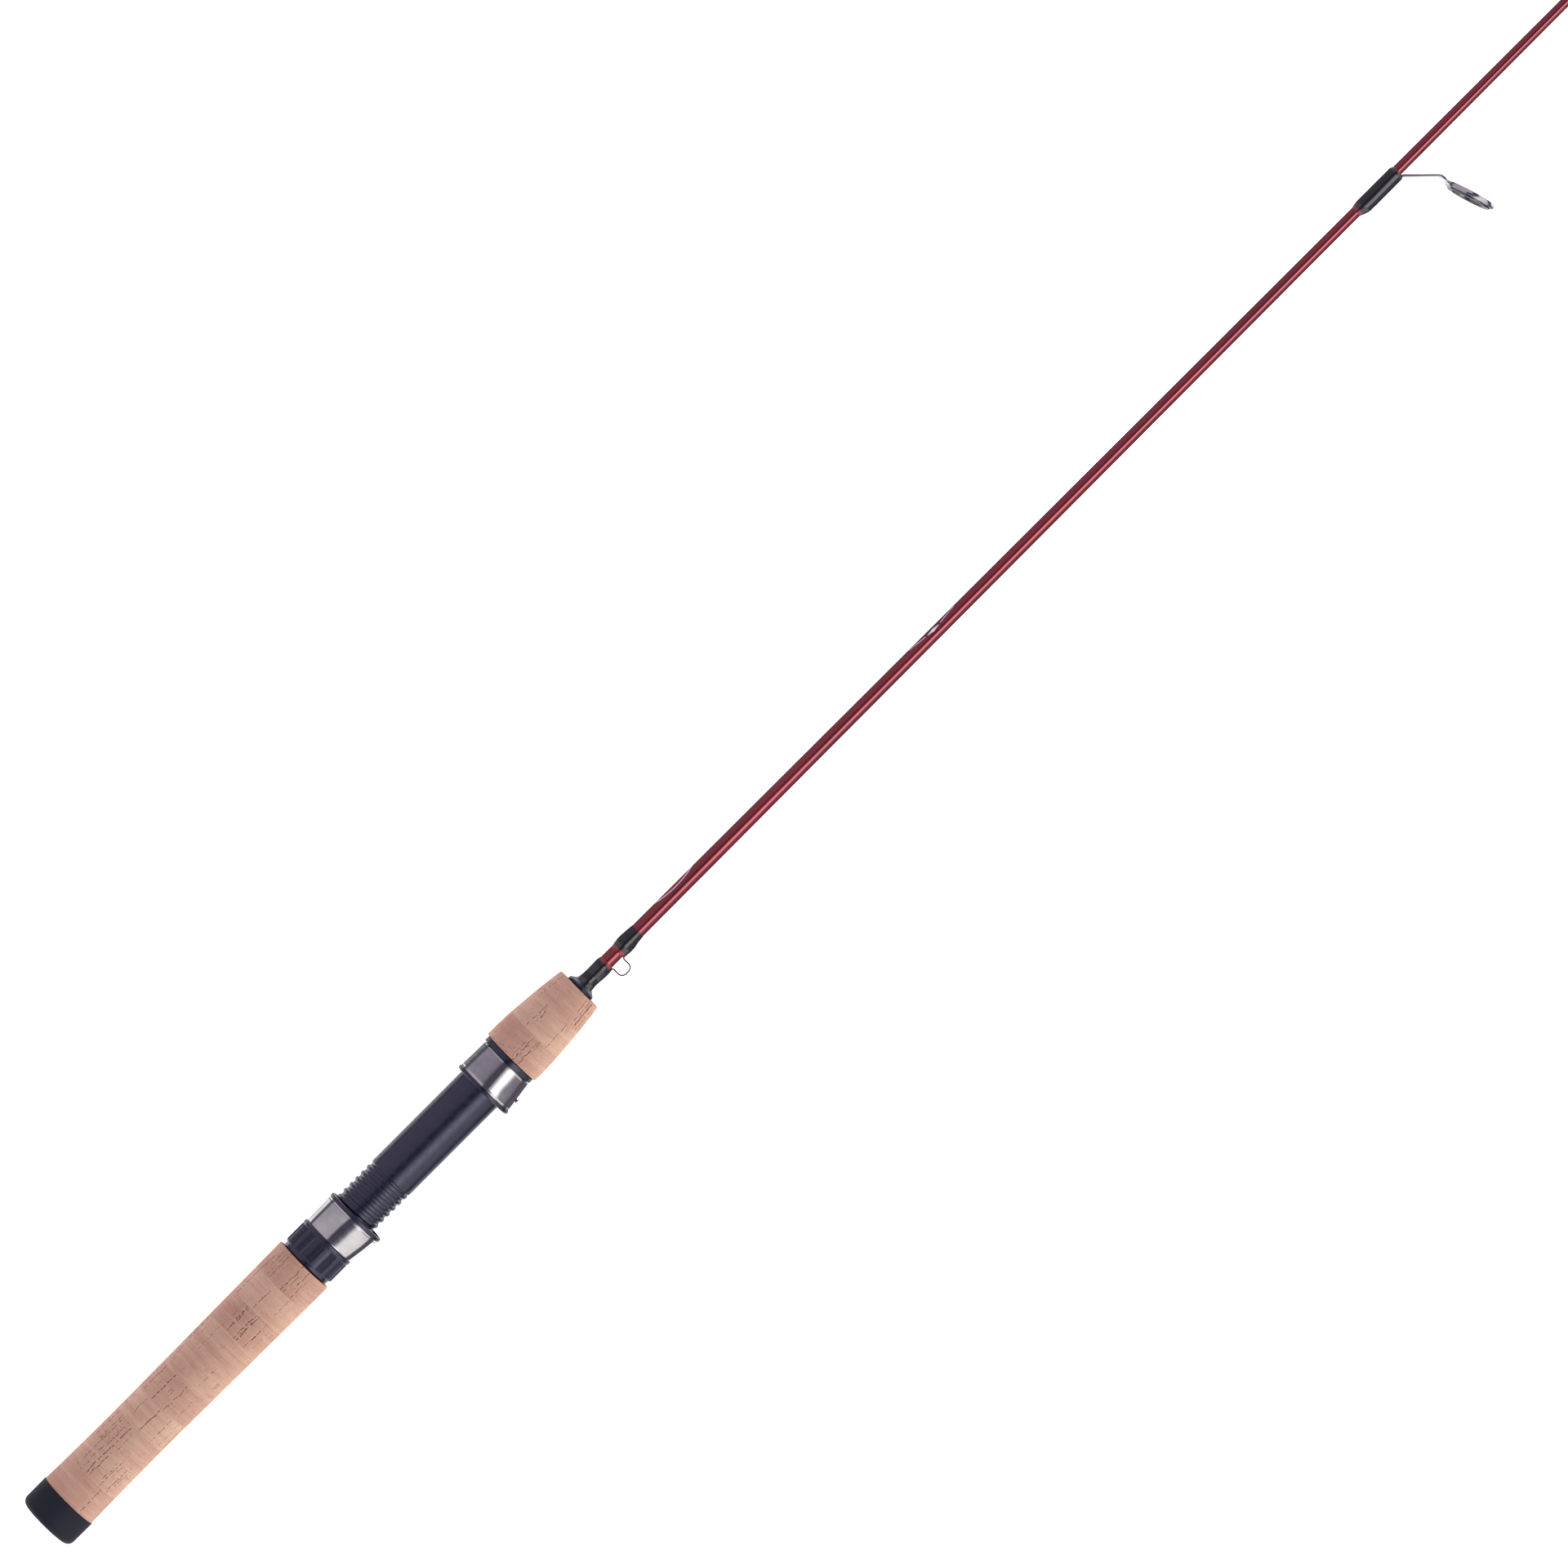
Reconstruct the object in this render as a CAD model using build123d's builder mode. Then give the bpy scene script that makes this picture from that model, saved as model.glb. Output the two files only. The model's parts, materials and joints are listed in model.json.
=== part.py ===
from build123d import *
import os
from math import cos, radians, sin

# A one-piece ice fishing rod for a spinning reel, in millimetres.
# +X runs along the rod from the butt to the tip, and the origin is the centre of the butt's end face.
# The guides, the hook keeper and the pockets for the reel's foot are on the -Y side. +Z is up.

# Rear end and rear grip
cap_length = 13.0
cap_radius = 12.5
cap_corner = 2.8
cap_flat_radius = 7.0
cap_dome = 0.6
cap_floor = 4.5
spigot_radius = 9.5
ring_length = 12.65
rear_ring_count = 10
rear_grip_end = cap_length + rear_ring_count * ring_length

# Reel seat
barrel_start = rear_grip_end + 0.1
barrel_end = 250.5
barrel_radius = 9.6
barrel_bore = 8.0
thread_root = 9.0
thread_pitch = 3.1
thread_crest_width = 1.3
thread_slope = 0.3
thread_clearance = 0.28
thread_end = 185.8
key_width = 2.4
key_depth = 0.9
keyway_end = 200.0
running_gap = 0.3

nut_start = rear_grip_end + 0.4
nut_end = 152.3
nut_collar_end = 141.5
nut_flange_start = 150.8
nut_collar_radius = 10.9
nut_root_radius = 11.25
nut_rib_radius = 11.65
nut_flange_radius = 11.8
nut_minor_radius = 9.25
knurl_groups = 12
knurl_ribs = 5
knurl_rib_step = 3.6

hood_shell_wall = 0.5
pocket_wall = 0.7
pocket_half_width = 7.6
slide_hood_start = 152.5
slide_hood_end = 165.2
slide_rim_end = 166.8
slide_pocket_floor = 154.0
slot_x = 161.0
slot_length = 2.6
slot_width = 1.3
sleeve_start = 150.3
sleeve_radius = 10.45
fixed_rim_start = 233.7
fixed_hood_start = 235.2
fixed_hood_end = 248.0
fixed_pocket_floor = 246.5
neck_radius = 10.6
seat_flange_start = 248.4
seat_flange_radius = 11.75
rim_proud = 0.12
rivet_x = 240.3
rivet_hole_radius = 0.62
rivet_shank_radius = 0.55
rivet_head_radius = 0.95
rivet_head_y = 13.0

# Fore grip and winding check
fore_grip_start = 250.6
fore_ring_length = 12.2
fore_ring_count = 3
fore_grip_end = fore_grip_start + fore_ring_count * fore_ring_length
check_length = 2.5
check_radius = 6.05
check_nose_radius = 4.8

# Blank, a tapered tube: (distance from the butt, outer radius)
blank_start = cap_floor
blank_end = 1216.0
blank_stations = [(blank_start, 3.15), (290.0, 3.02), (436.0, 2.68), (808.0, 1.98), (blank_end, 0.85)]
blank_wall_at_butt = 0.75
blank_wall_at_tip = 0.45
glue_gap = 0.08

# Hook keeper
keeper_wire_radius = 0.3
keeper_rear_leg = 301.75
keeper_front_leg = 307.25
keeper_reach = 8.4
keeper_bend = 2.1
keeper_foot_length = 6.0

# Line guides: ring centre along the rod, ring height over the blank's axis, ring outer and inner diameter
guides = {
    "guide_1": (739.4, 26.0, 20.8, 14.5),
    "guide_2": (880.0, 18.5, 15.2, 10.6),
    "guide_3": (1008.0, 14.0, 12.2, 8.4),
    "guide_4": (1120.0, 11.0, 10.2, 7.0),
}
guide_tilt = 16.7
guide_strip = 1.15
guide_frame_depth = 2.0
guide_insert_depth = 2.85
foot_width = 2.4
largest_ring = 20.8

# Tip top
tip_tube_start = 1204.0
tip_tube_end = 1217.0
tip_tube_radius = 1.35
tip_ring_outer = 9.2
tip_ring_inner = 6.2
tip_ring_depth = 1.6
tip_ring_height = 7.2
tip_end = 1220.0

os.makedirs("parts", exist_ok=True)


def blank_radius(x):
    """The blank's outer radius at distance x from the butt."""
    for (x0, r0), (x1, r1) in zip(blank_stations, blank_stations[1:]):
        if x <= x1:
            return r0 + (r1 - r0) * (x - x0) / (x1 - x0)
    return blank_stations[-1][1]


def blank_bore(part_start, part_end, gap=glue_gap):
    """Revolved profile points of the blank between two stations, with the glue line round it."""
    inner = [(x, r + gap) for x, r in blank_stations if part_start < x < part_end]
    first = (part_start, blank_radius(part_start) + gap)
    last = (part_end, blank_radius(part_end) + gap)
    return [first] + inner + [last]


def save(part, name):
    """Label one finished piece and write it to its own file."""
    part.label = name
    export_step(part, f"parts/{name}.step")


def yz_plane(x, y=0.0):
    """A plane across the rod at x, looking towards the butt: its own x is +Y and its own y is +Z."""
    return Plane(origin=(x, y, 0), x_dir=(0, 1, 0), z_dir=(1, 0, 0))


# ---------------------------------------------------------------- blank
def bore_radius(x):
    """The blank's inner radius at distance x from the butt."""
    share = (x - blank_start) / (blank_end - blank_start)
    wall = blank_wall_at_butt + (blank_wall_at_tip - blank_wall_at_butt) * share
    return blank_radius(x) - wall


with BuildPart() as blank:
    with BuildSketch() as blank_profile:
        with BuildLine():
            Polyline(
                *[(x, r) for x, r in blank_stations],
                *[(x, bore_radius(x)) for x, r in reversed(blank_stations)],
                close=True,
            )
        make_face()
    revolve(axis=Axis.X)
save(blank.part, "blank")


# ---------------------------------------------------------------- butt cap
with BuildPart() as butt_cap:
    with BuildSketch() as cap_profile:
        with BuildLine():
            face_line = Line((0, 0), (0, cap_flat_radius))
            dome = Line(face_line @ 1, (cap_dome, cap_radius - cap_corner))
            corner = CenterArc(
                (cap_dome + cap_corner, cap_radius - cap_corner), cap_corner, 180, -90
            )
            Polyline(
                corner @ 1,
                (cap_length, cap_radius),
                (cap_length, spigot_radius + glue_gap),
                (cap_floor, spigot_radius + glue_gap),
                (cap_floor, 0),
                (0, 0),
            )
        make_face()
    revolve(axis=Axis.X)
save(butt_cap.part, "butt_cap")


# ---------------------------------------------------------------- cork grips
rear_outline = [
    (cap_length, 12.25),
    (27.0, 12.0),
    (52.0, 11.85),
    (83.0, 12.05),
    (117.0, 12.35),
    (rear_grip_end, 12.5),
]
fore_outline = [
    (fore_grip_start, 12.6),
    (257.0, 12.62),
    (263.0, 12.35),
    (269.5, 11.85),
    (276.0, 11.25),
    (282.0, 10.55),
    (fore_grip_end, 9.85),
]
ring_blank_radius = cap_radius + 5
rear_edge_radius = 0.5
fore_rear_edge_radius = 0.4
fore_front_edge_radius = 0.9


def cork_ring(outline, ring_start, ring_end, spigot=0.0, rear_edge=0.0, front_edge=0.0):
    """One cork ring, turned to the grip's outline and bored for the blank."""
    grip_start = outline[0][0]
    grip_end = outline[-1][0]
    with BuildPart() as ring:
        with BuildSketch():
            with BuildLine():
                outer = Spline(*outline)
                Polyline(outer @ 1, (grip_end, 0), (grip_start, 0), outer @ 0)
            make_face()
            with BuildLine():
                Polyline(
                    (ring_start, 0),
                    (ring_start, ring_blank_radius),
                    (ring_end, ring_blank_radius),
                    (ring_end, 0),
                    close=True,
                )
            make_face(mode=Mode.INTERSECT)
            if spigot:
                with Locations((ring_start - spigot / 2, spigot_radius / 2)):
                    Rectangle(spigot, spigot_radius)
            with BuildLine():
                bore = blank_bore(ring_start - spigot, ring_end)
                Polyline(*bore, (ring_end, 0), (ring_start - spigot, 0), close=True)
            make_face(mode=Mode.SUBTRACT)
        revolve(axis=Axis.X)
        rims = [edge for edge in ring.edges().filter_by(GeomType.CIRCLE) if edge.radius > spigot_radius]
        if rear_edge:
            fillet([edge for edge in rims if edge.center().X < ring_start + 0.1], rear_edge)
        if front_edge:
            fillet([edge for edge in rims if edge.center().X > ring_end - 0.1], front_edge)
    return ring.part


for number in range(1, rear_ring_count + 1):
    start = cap_length + (number - 1) * ring_length
    cork = cork_ring(
        rear_outline,
        start,
        start + ring_length,
        spigot=cap_length - cap_floor if number == 1 else 0.0,
        front_edge=rear_edge_radius if number == rear_ring_count else 0.0,
    )
    save(cork, f"rear_cork_ring_{number:02d}")

for number in range(1, fore_ring_count + 1):
    start = fore_grip_start + (number - 1) * fore_ring_length
    cork = cork_ring(
        fore_outline,
        start,
        start + fore_ring_length,
        rear_edge=fore_rear_edge_radius if number == 1 else 0.0,
        front_edge=fore_front_edge_radius if number == fore_ring_count else 0.0,
    )
    save(cork, f"fore_cork_ring_{number}")


# ---------------------------------------------------------------- reel seat barrel
def helix_body(profile, start, end, radius):
    """Sweep a profile, given as (along the rod, out from the axis) points, along the right-hand thread."""
    with BuildPart() as body:
        with BuildLine():
            path = Helix(thread_pitch, end - start, radius, center=(start, 0, 0), direction=(1, 0, 0))
        root = path @ 0
        outward = Vector(0, root.Y, root.Z).normalized()
        across = Plane(origin=root, x_dir=outward, z_dir=path % 0)
        with BuildSketch(across):
            with BuildLine():
                Polyline(*[(out - radius, -along) for along, out in profile], close=True)
            make_face()
        sweep(path=path, is_frenet=True)
    return body.part


half_crest = thread_crest_width / 2
half_root = half_crest + thread_slope
crest_radius = barrel_radius - 0.02
buried_radius = thread_root - 0.2
ridge = [
    (-half_root, buried_radius),
    (-half_root, thread_root),
    (-half_crest, crest_radius),
    (half_crest, crest_radius),
    (half_root, thread_root),
    (half_root, buried_radius),
]
thread_start = barrel_start + thread_pitch / 2
seat_thread = helix_body(ridge, thread_start, thread_end + thread_pitch / 4, thread_root)

with BuildPart() as seat_barrel:
    with BuildSketch():
        with BuildLine():
            Polyline(
                (barrel_start, barrel_bore),
                (barrel_start, thread_root),
                (thread_end, thread_root),
                (thread_end, barrel_radius),
                (barrel_end, barrel_radius),
                (barrel_end, barrel_bore),
                close=True,
            )
        make_face()
    revolve(axis=Axis.X)
    add(seat_thread)
    with BuildSketch(Plane.XY.offset(-barrel_radius - 1)):
        with Locations(((barrel_start + keyway_end) / 2, 0)):
            Rectangle(keyway_end - barrel_start, key_width)
    extrude(amount=1 + key_depth, mode=Mode.SUBTRACT)
save(seat_barrel.part, "seat_barrel")


# ---------------------------------------------------------------- arbors between the blank and the barrel
arbor_length = 24.0
arbor_count = 3
arbor_spacing = 38.0
first_arbor_start = barrel_start + 4.0
for number in range(1, arbor_count + 1):
    arbor_start = first_arbor_start + (number - 1) * arbor_spacing
    arbor_end = arbor_start + arbor_length
    with BuildPart() as arbor:
        with BuildSketch():
            with BuildLine():
                bore = blank_bore(arbor_start, arbor_end)
                Polyline(
                    *bore,
                    (arbor_end, barrel_bore - glue_gap),
                    (arbor_start, barrel_bore - glue_gap),
                    close=True,
                )
            make_face()
        revolve(axis=Axis.X)
    save(arbor.part, f"seat_arbor_{number}")


# ---------------------------------------------------------------- hoods
def hood_oval(back_reach, front_reach, half_width, inset=0.0):
    """Centre (in Y) and half sizes of the oval a hood has at one station, thinned by inset."""
    centre = (back_reach - front_reach) / 2
    return centre, (back_reach + front_reach) / 2 - inset, half_width - inset


def oval_loft(stations, inset=0.0):
    """A solid through ovals: stations are (x, reach towards +Y, reach towards -Y, half width)."""
    with BuildPart() as body:
        for x, back_reach, front_reach, half_width in stations:
            centre, half_y, half_z = hood_oval(back_reach, front_reach, half_width, inset)
            with BuildSketch(yz_plane(x, centre)):
                Ellipse(half_y, half_z)
        loft(ruled=True)
    return body.part


def hood_shell(stations):
    """A pressed steel hood: an oval sleeve that flares round the pocket."""
    with BuildPart() as shell:
        add(oval_loft(stations))
        add(oval_loft(stations, hood_shell_wall), mode=Mode.SUBTRACT)
    return shell.part


def hood_pocket(stations, floor_x, mouth_x):
    """The wedge of space that takes one end of the reel's foot."""
    with BuildPart() as pocket:
        add(oval_loft(stations, hood_shell_wall + pocket_wall))
        with BuildSketch(Plane.XY.offset(-pocket_half_width)):
            with Locations(((floor_x + mouth_x) / 2, -10)):
                Rectangle(abs(mouth_x - floor_x), 20)
        extrude(amount=2 * pocket_half_width, mode=Mode.INTERSECT)
    return pocket.part


def bored(x_from, x_to, radius):
    """A plain cylinder along the rod, to bore a piece with."""
    with BuildPart() as drill:
        with BuildSketch(yz_plane(x_from)):
            Circle(radius)
        extrude(amount=x_to - x_from)
    return drill.part


def stretched(stations, index, x):
    """The same ovals with one end carried on along its own flare to x."""
    (x0, *near), (x1, *far) = stations
    share = (x - x0) / (x1 - x0)
    moved = (x, *[a + (b - a) * share for a, b in zip(near, far)])
    return [moved, stations[1]] if index == 0 else [stations[0], moved]


slide_ovals = [(slide_hood_start, 11.2, 11.9, 11.35), (slide_hood_end, 11.5, 13.5, 11.8)]
fixed_ovals = [(fixed_hood_start, 11.55, 13.6, 11.8), (fixed_hood_end, 11.3, 11.8, 11.45)]
hood_bore = barrel_radius + running_gap
core_inset = hood_shell_wall + 0.01
core_bite = 0.5
shell_cut = 9.0

# The sliding hood's shell, with the slot that the core's catch snaps into.
with BuildPart() as slide_shell:
    add(hood_shell(slide_ovals))
    with BuildSketch(Plane.XZ.offset(shell_cut)):
        with Locations((slot_x, 0)):
            SlotOverall(slot_length, slot_width)
    extrude(amount=shell_cut, mode=Mode.SUBTRACT)
save(slide_shell.part, "sliding_hood_shell")

# The sliding hood's core: rim at the mouth, pocket, key for the keyway, and a sleeve that the nut turns on.
slide_rim_ovals = stretched(slide_ovals, 1, slide_rim_end)
slide_pocket_ovals = stretched(slide_ovals, 1, slide_rim_end + 1)
key_base_radius = hood_bore + 0.4
key_tip_radius = barrel_radius - key_depth + 0.45
with BuildPart() as slide_core:
    add(oval_loft(slide_ovals, core_inset))
    rim_centre, rim_half_y, rim_half_z = hood_oval(*slide_rim_ovals[1][1:], -rim_proud)
    with BuildSketch(yz_plane(slide_hood_end, rim_centre)):
        Ellipse(rim_half_y, rim_half_z)
    extrude(amount=slide_rim_end - slide_hood_end)
    fillet(slide_core.edges().group_by(Axis.X)[-1], 0.7)
    with BuildSketch(yz_plane(sleeve_start)):
        Circle(sleeve_radius)
    extrude(amount=slide_hood_start + core_bite - sleeve_start)
    add(bored(sleeve_start - 1, slide_rim_end + 1, hood_bore), mode=Mode.SUBTRACT)
    add(hood_pocket(slide_pocket_ovals, slide_pocket_floor, slide_rim_end + 1), mode=Mode.SUBTRACT)
    with BuildSketch(Plane.XY.offset(-key_base_radius)):
        with Locations(((slide_hood_start + slide_hood_end) / 2, 0)):
            Rectangle(slide_hood_end - slide_hood_start - 2, key_width - 2 * running_gap)
    extrude(amount=key_base_radius - key_tip_radius)
save(slide_core.part, "sliding_hood_core")

# The fixed hood's core: rim at the mouth, pocket, and the flange against the fore grip.
fixed_rim_ovals = stretched(fixed_ovals, 0, fixed_rim_start)
fixed_pocket_ovals = stretched(fixed_ovals, 0, fixed_rim_start - 1)
with BuildPart() as fixed_core:
    add(oval_loft(fixed_ovals, core_inset))
    rim_centre, rim_half_y, rim_half_z = hood_oval(*fixed_rim_ovals[0][1:], -rim_proud)
    with BuildSketch(yz_plane(fixed_rim_start, rim_centre)):
        Ellipse(rim_half_y, rim_half_z)
    extrude(amount=fixed_hood_start - fixed_rim_start)
    fillet(fixed_core.edges().group_by(Axis.X)[0], 0.6)
    with BuildSketch(yz_plane(fixed_hood_end - core_bite)):
        Circle(neck_radius)
    extrude(amount=seat_flange_start - fixed_hood_end + 2 * core_bite)
    with BuildSketch(yz_plane(seat_flange_start)):
        Circle(seat_flange_radius)
    extrude(amount=barrel_end - seat_flange_start)
    fillet(fixed_core.edges().group_by(Axis.X)[-1], 0.4)
    add(bored(fixed_rim_start - 1, barrel_end + 1, barrel_radius + glue_gap), mode=Mode.SUBTRACT)
    add(hood_pocket(fixed_pocket_ovals, fixed_rim_start - 1, fixed_pocket_floor), mode=Mode.SUBTRACT)
    with BuildSketch(Plane.XZ.offset(shell_cut)):
        with Locations((rivet_x, 0)):
            Circle(rivet_hole_radius)
    extrude(amount=shell_cut, mode=Mode.SUBTRACT)
save(fixed_core.part, "fixed_hood_core")

with BuildPart() as fixed_shell:
    add(hood_shell(fixed_ovals))
    with BuildSketch(Plane.XZ.offset(shell_cut)):
        with Locations((rivet_x, 0)):
            Circle(rivet_hole_radius)
    extrude(amount=shell_cut, mode=Mode.SUBTRACT)
save(fixed_shell.part, "fixed_hood_shell")

# The rivet that holds the fixed hood's shell to its core.
rivet_length = 1.3
rivet_head_height = 0.4
with BuildPart() as rivet:
    with BuildSketch(Plane.XZ.offset(rivet_head_y - rivet_length + 0.1)):
        with Locations((rivet_x, 0)):
            Circle(rivet_shank_radius)
    extrude(amount=rivet_length)
    with BuildSketch(Plane.XZ.offset(rivet_head_y + 0.06)):
        with Locations((rivet_x, 0)):
            Circle(rivet_head_radius)
    extrude(amount=rivet_head_height)
    fillet(rivet.edges().group_by(Axis.Y)[0], 0.3)
save(rivet.part, "fixed_hood_rivet")


# ---------------------------------------------------------------- locking nut
groove_floor = barrel_radius + thread_clearance
groove_mouth = thread_root - 0.15
nut_groove = [
    (-half_root - thread_clearance, groove_mouth),
    (-half_crest - thread_clearance, groove_floor),
    (half_crest + thread_clearance, groove_floor),
    (half_root + thread_clearance, groove_mouth),
]
turns_to_nut = int((nut_start - thread_start) / thread_pitch) - 1
groove_start = thread_start + turns_to_nut * thread_pitch
nut_thread = helix_body(nut_groove, groove_start, nut_end + thread_pitch, thread_root)

with BuildPart() as locking_nut:
    with BuildSketch():
        with BuildLine():
            Polyline(
                (nut_start, nut_minor_radius),
                (nut_start, nut_collar_radius - 0.4),
                (nut_start + 0.4, nut_collar_radius),
                (nut_collar_end, nut_collar_radius),
                (nut_collar_end + 0.4, nut_root_radius),
                (nut_flange_start, nut_root_radius),
                (nut_flange_start, nut_flange_radius - 0.2),
                (nut_flange_start + 0.2, nut_flange_radius),
                (nut_end - 0.3, nut_flange_radius),
                (nut_end, nut_flange_radius - 0.3),
                (nut_end, sleeve_radius + 0.3),
                (sleeve_start - 0.3, sleeve_radius + 0.3),
                (sleeve_start - 0.3, nut_minor_radius),
                close=True,
            )
        make_face()
    revolve(axis=Axis.X)
    rib_bite = 0.2
    rib_width = 0.5
    rib_flank = 70
    rib_middle = (nut_root_radius + nut_rib_radius - rib_bite) / 2
    with BuildSketch(yz_plane(nut_collar_end)):
        for group in range(knurl_groups):
            for rib in range(knurl_ribs):
                turn = 360 / knurl_groups * group + knurl_rib_step * (rib - (knurl_ribs - 1) / 2)
                place = (rib_middle * cos(radians(turn)), rib_middle * sin(radians(turn)))
                with Locations(Location(place, turn)):
                    Trapezoid(rib_width, nut_rib_radius - nut_root_radius + rib_bite, rib_flank, rotation=-90)
    extrude(amount=nut_flange_start - nut_collar_end + 0.1)
    add(nut_thread, mode=Mode.SUBTRACT)
save(locking_nut.part, "locking_nut")


# ---------------------------------------------------------------- winding check
check_start = fore_grip_end
check_end = check_start + check_length
with BuildPart() as winding_check:
    with BuildSketch():
        with BuildLine():
            bore = blank_bore(check_start, check_end)
            Polyline(
                *bore,
                (check_end, check_nose_radius - 0.4),
                (check_end - 0.3, check_nose_radius),
                (check_start + 1.3, check_radius - 0.1),
                (check_start + 1.0, check_radius),
                (check_start, check_radius),
                close=True,
            )
        make_face()
    revolve(axis=Axis.X)
save(winding_check.part, "winding_check")


# ---------------------------------------------------------------- hook keeper
keeper_line_y = blank_radius(300.0) + keeper_wire_radius + 0.06
with BuildPart() as hook_keeper:
    with BuildLine():
        keeper_path = FilletPolyline(
            (keeper_rear_leg - keeper_foot_length, -keeper_line_y),
            (keeper_rear_leg, -keeper_line_y),
            (keeper_rear_leg, -keeper_reach),
            (keeper_front_leg, -keeper_reach),
            (keeper_front_leg, -keeper_line_y),
            (keeper_front_leg + keeper_foot_length, -keeper_line_y),
            radius=[0.7, keeper_bend, keeper_bend, 0.7],
        )
    with BuildSketch(Plane(origin=keeper_path @ 0, z_dir=keeper_path % 0)):
        Circle(keeper_wire_radius)
    sweep(path=keeper_path)
save(hook_keeper.part, "hook_keeper")


# ---------------------------------------------------------------- thread wraps
def thread_wrap(stations):
    """Thread and varnish round the blank: (x, cover on the +Y side, reach towards -Y, half width)."""
    first = stations[0][0]
    last = stations[-1][0]
    with BuildPart() as wrap:
        add(oval_loft(stations))
        with BuildSketch():
            with BuildLine():
                bore = blank_bore(first - 1, last + 1, glue_gap / 2)
                Polyline(*bore, (last + 1, 0), (first - 1, 0), close=True)
            make_face()
        revolve(axis=Axis.X, mode=Mode.SUBTRACT)
    return wrap.part


def keeper_channel(x_from, x_to):
    """The channel that one foot of the hook keeper leaves in the wrap over it."""
    with BuildPart() as channel:
        with BuildSketch(yz_plane(x_from, -keeper_line_y)):
            Circle(keeper_wire_radius + 0.04)
        extrude(amount=x_to - x_from)
    return channel.part


rear_wrap_ovals = [
    (check_end, 4.2, 4.3, 4.2),
    (check_end + 1.8, 3.6, 3.95, 3.65),
    (300.2, 3.45, 3.95, 3.55),
    (300.9, 3.3, 3.8, 3.4),
]
with BuildPart() as rear_wrap:
    add(thread_wrap(rear_wrap_ovals))
    add(keeper_channel(keeper_rear_leg - keeper_foot_length - 0.2, 302), mode=Mode.SUBTRACT)
save(rear_wrap.part, "keeper_wrap_rear")

front_wrap_ovals = [
    (308.3, 3.3, 3.75, 3.35),
    (309.2, 3.55, 3.95, 3.6),
    (314.5, 3.5, 3.85, 3.5),
    (318.8, *[blank_radius(318.8) + 0.2] * 3),
]
with BuildPart() as front_wrap:
    add(thread_wrap(front_wrap_ovals))
    add(keeper_channel(307, keeper_front_leg + keeper_foot_length + 0.2), mode=Mode.SUBTRACT)
save(front_wrap.part, "keeper_wrap_front")


# ---------------------------------------------------------------- line guides
def guide_frame_plane(ring_x, height, back_off=0.0):
    """The tilted plane of a guide's ring: its normal points back to the reel, and outwards."""
    normal = Vector(-cos(radians(guide_tilt)), -sin(radians(guide_tilt)), 0)
    centre = Vector(ring_x, -height, 0) + normal * back_off
    return Plane(origin=centre, x_dir=(0, 0, 1), z_dir=normal)


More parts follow.
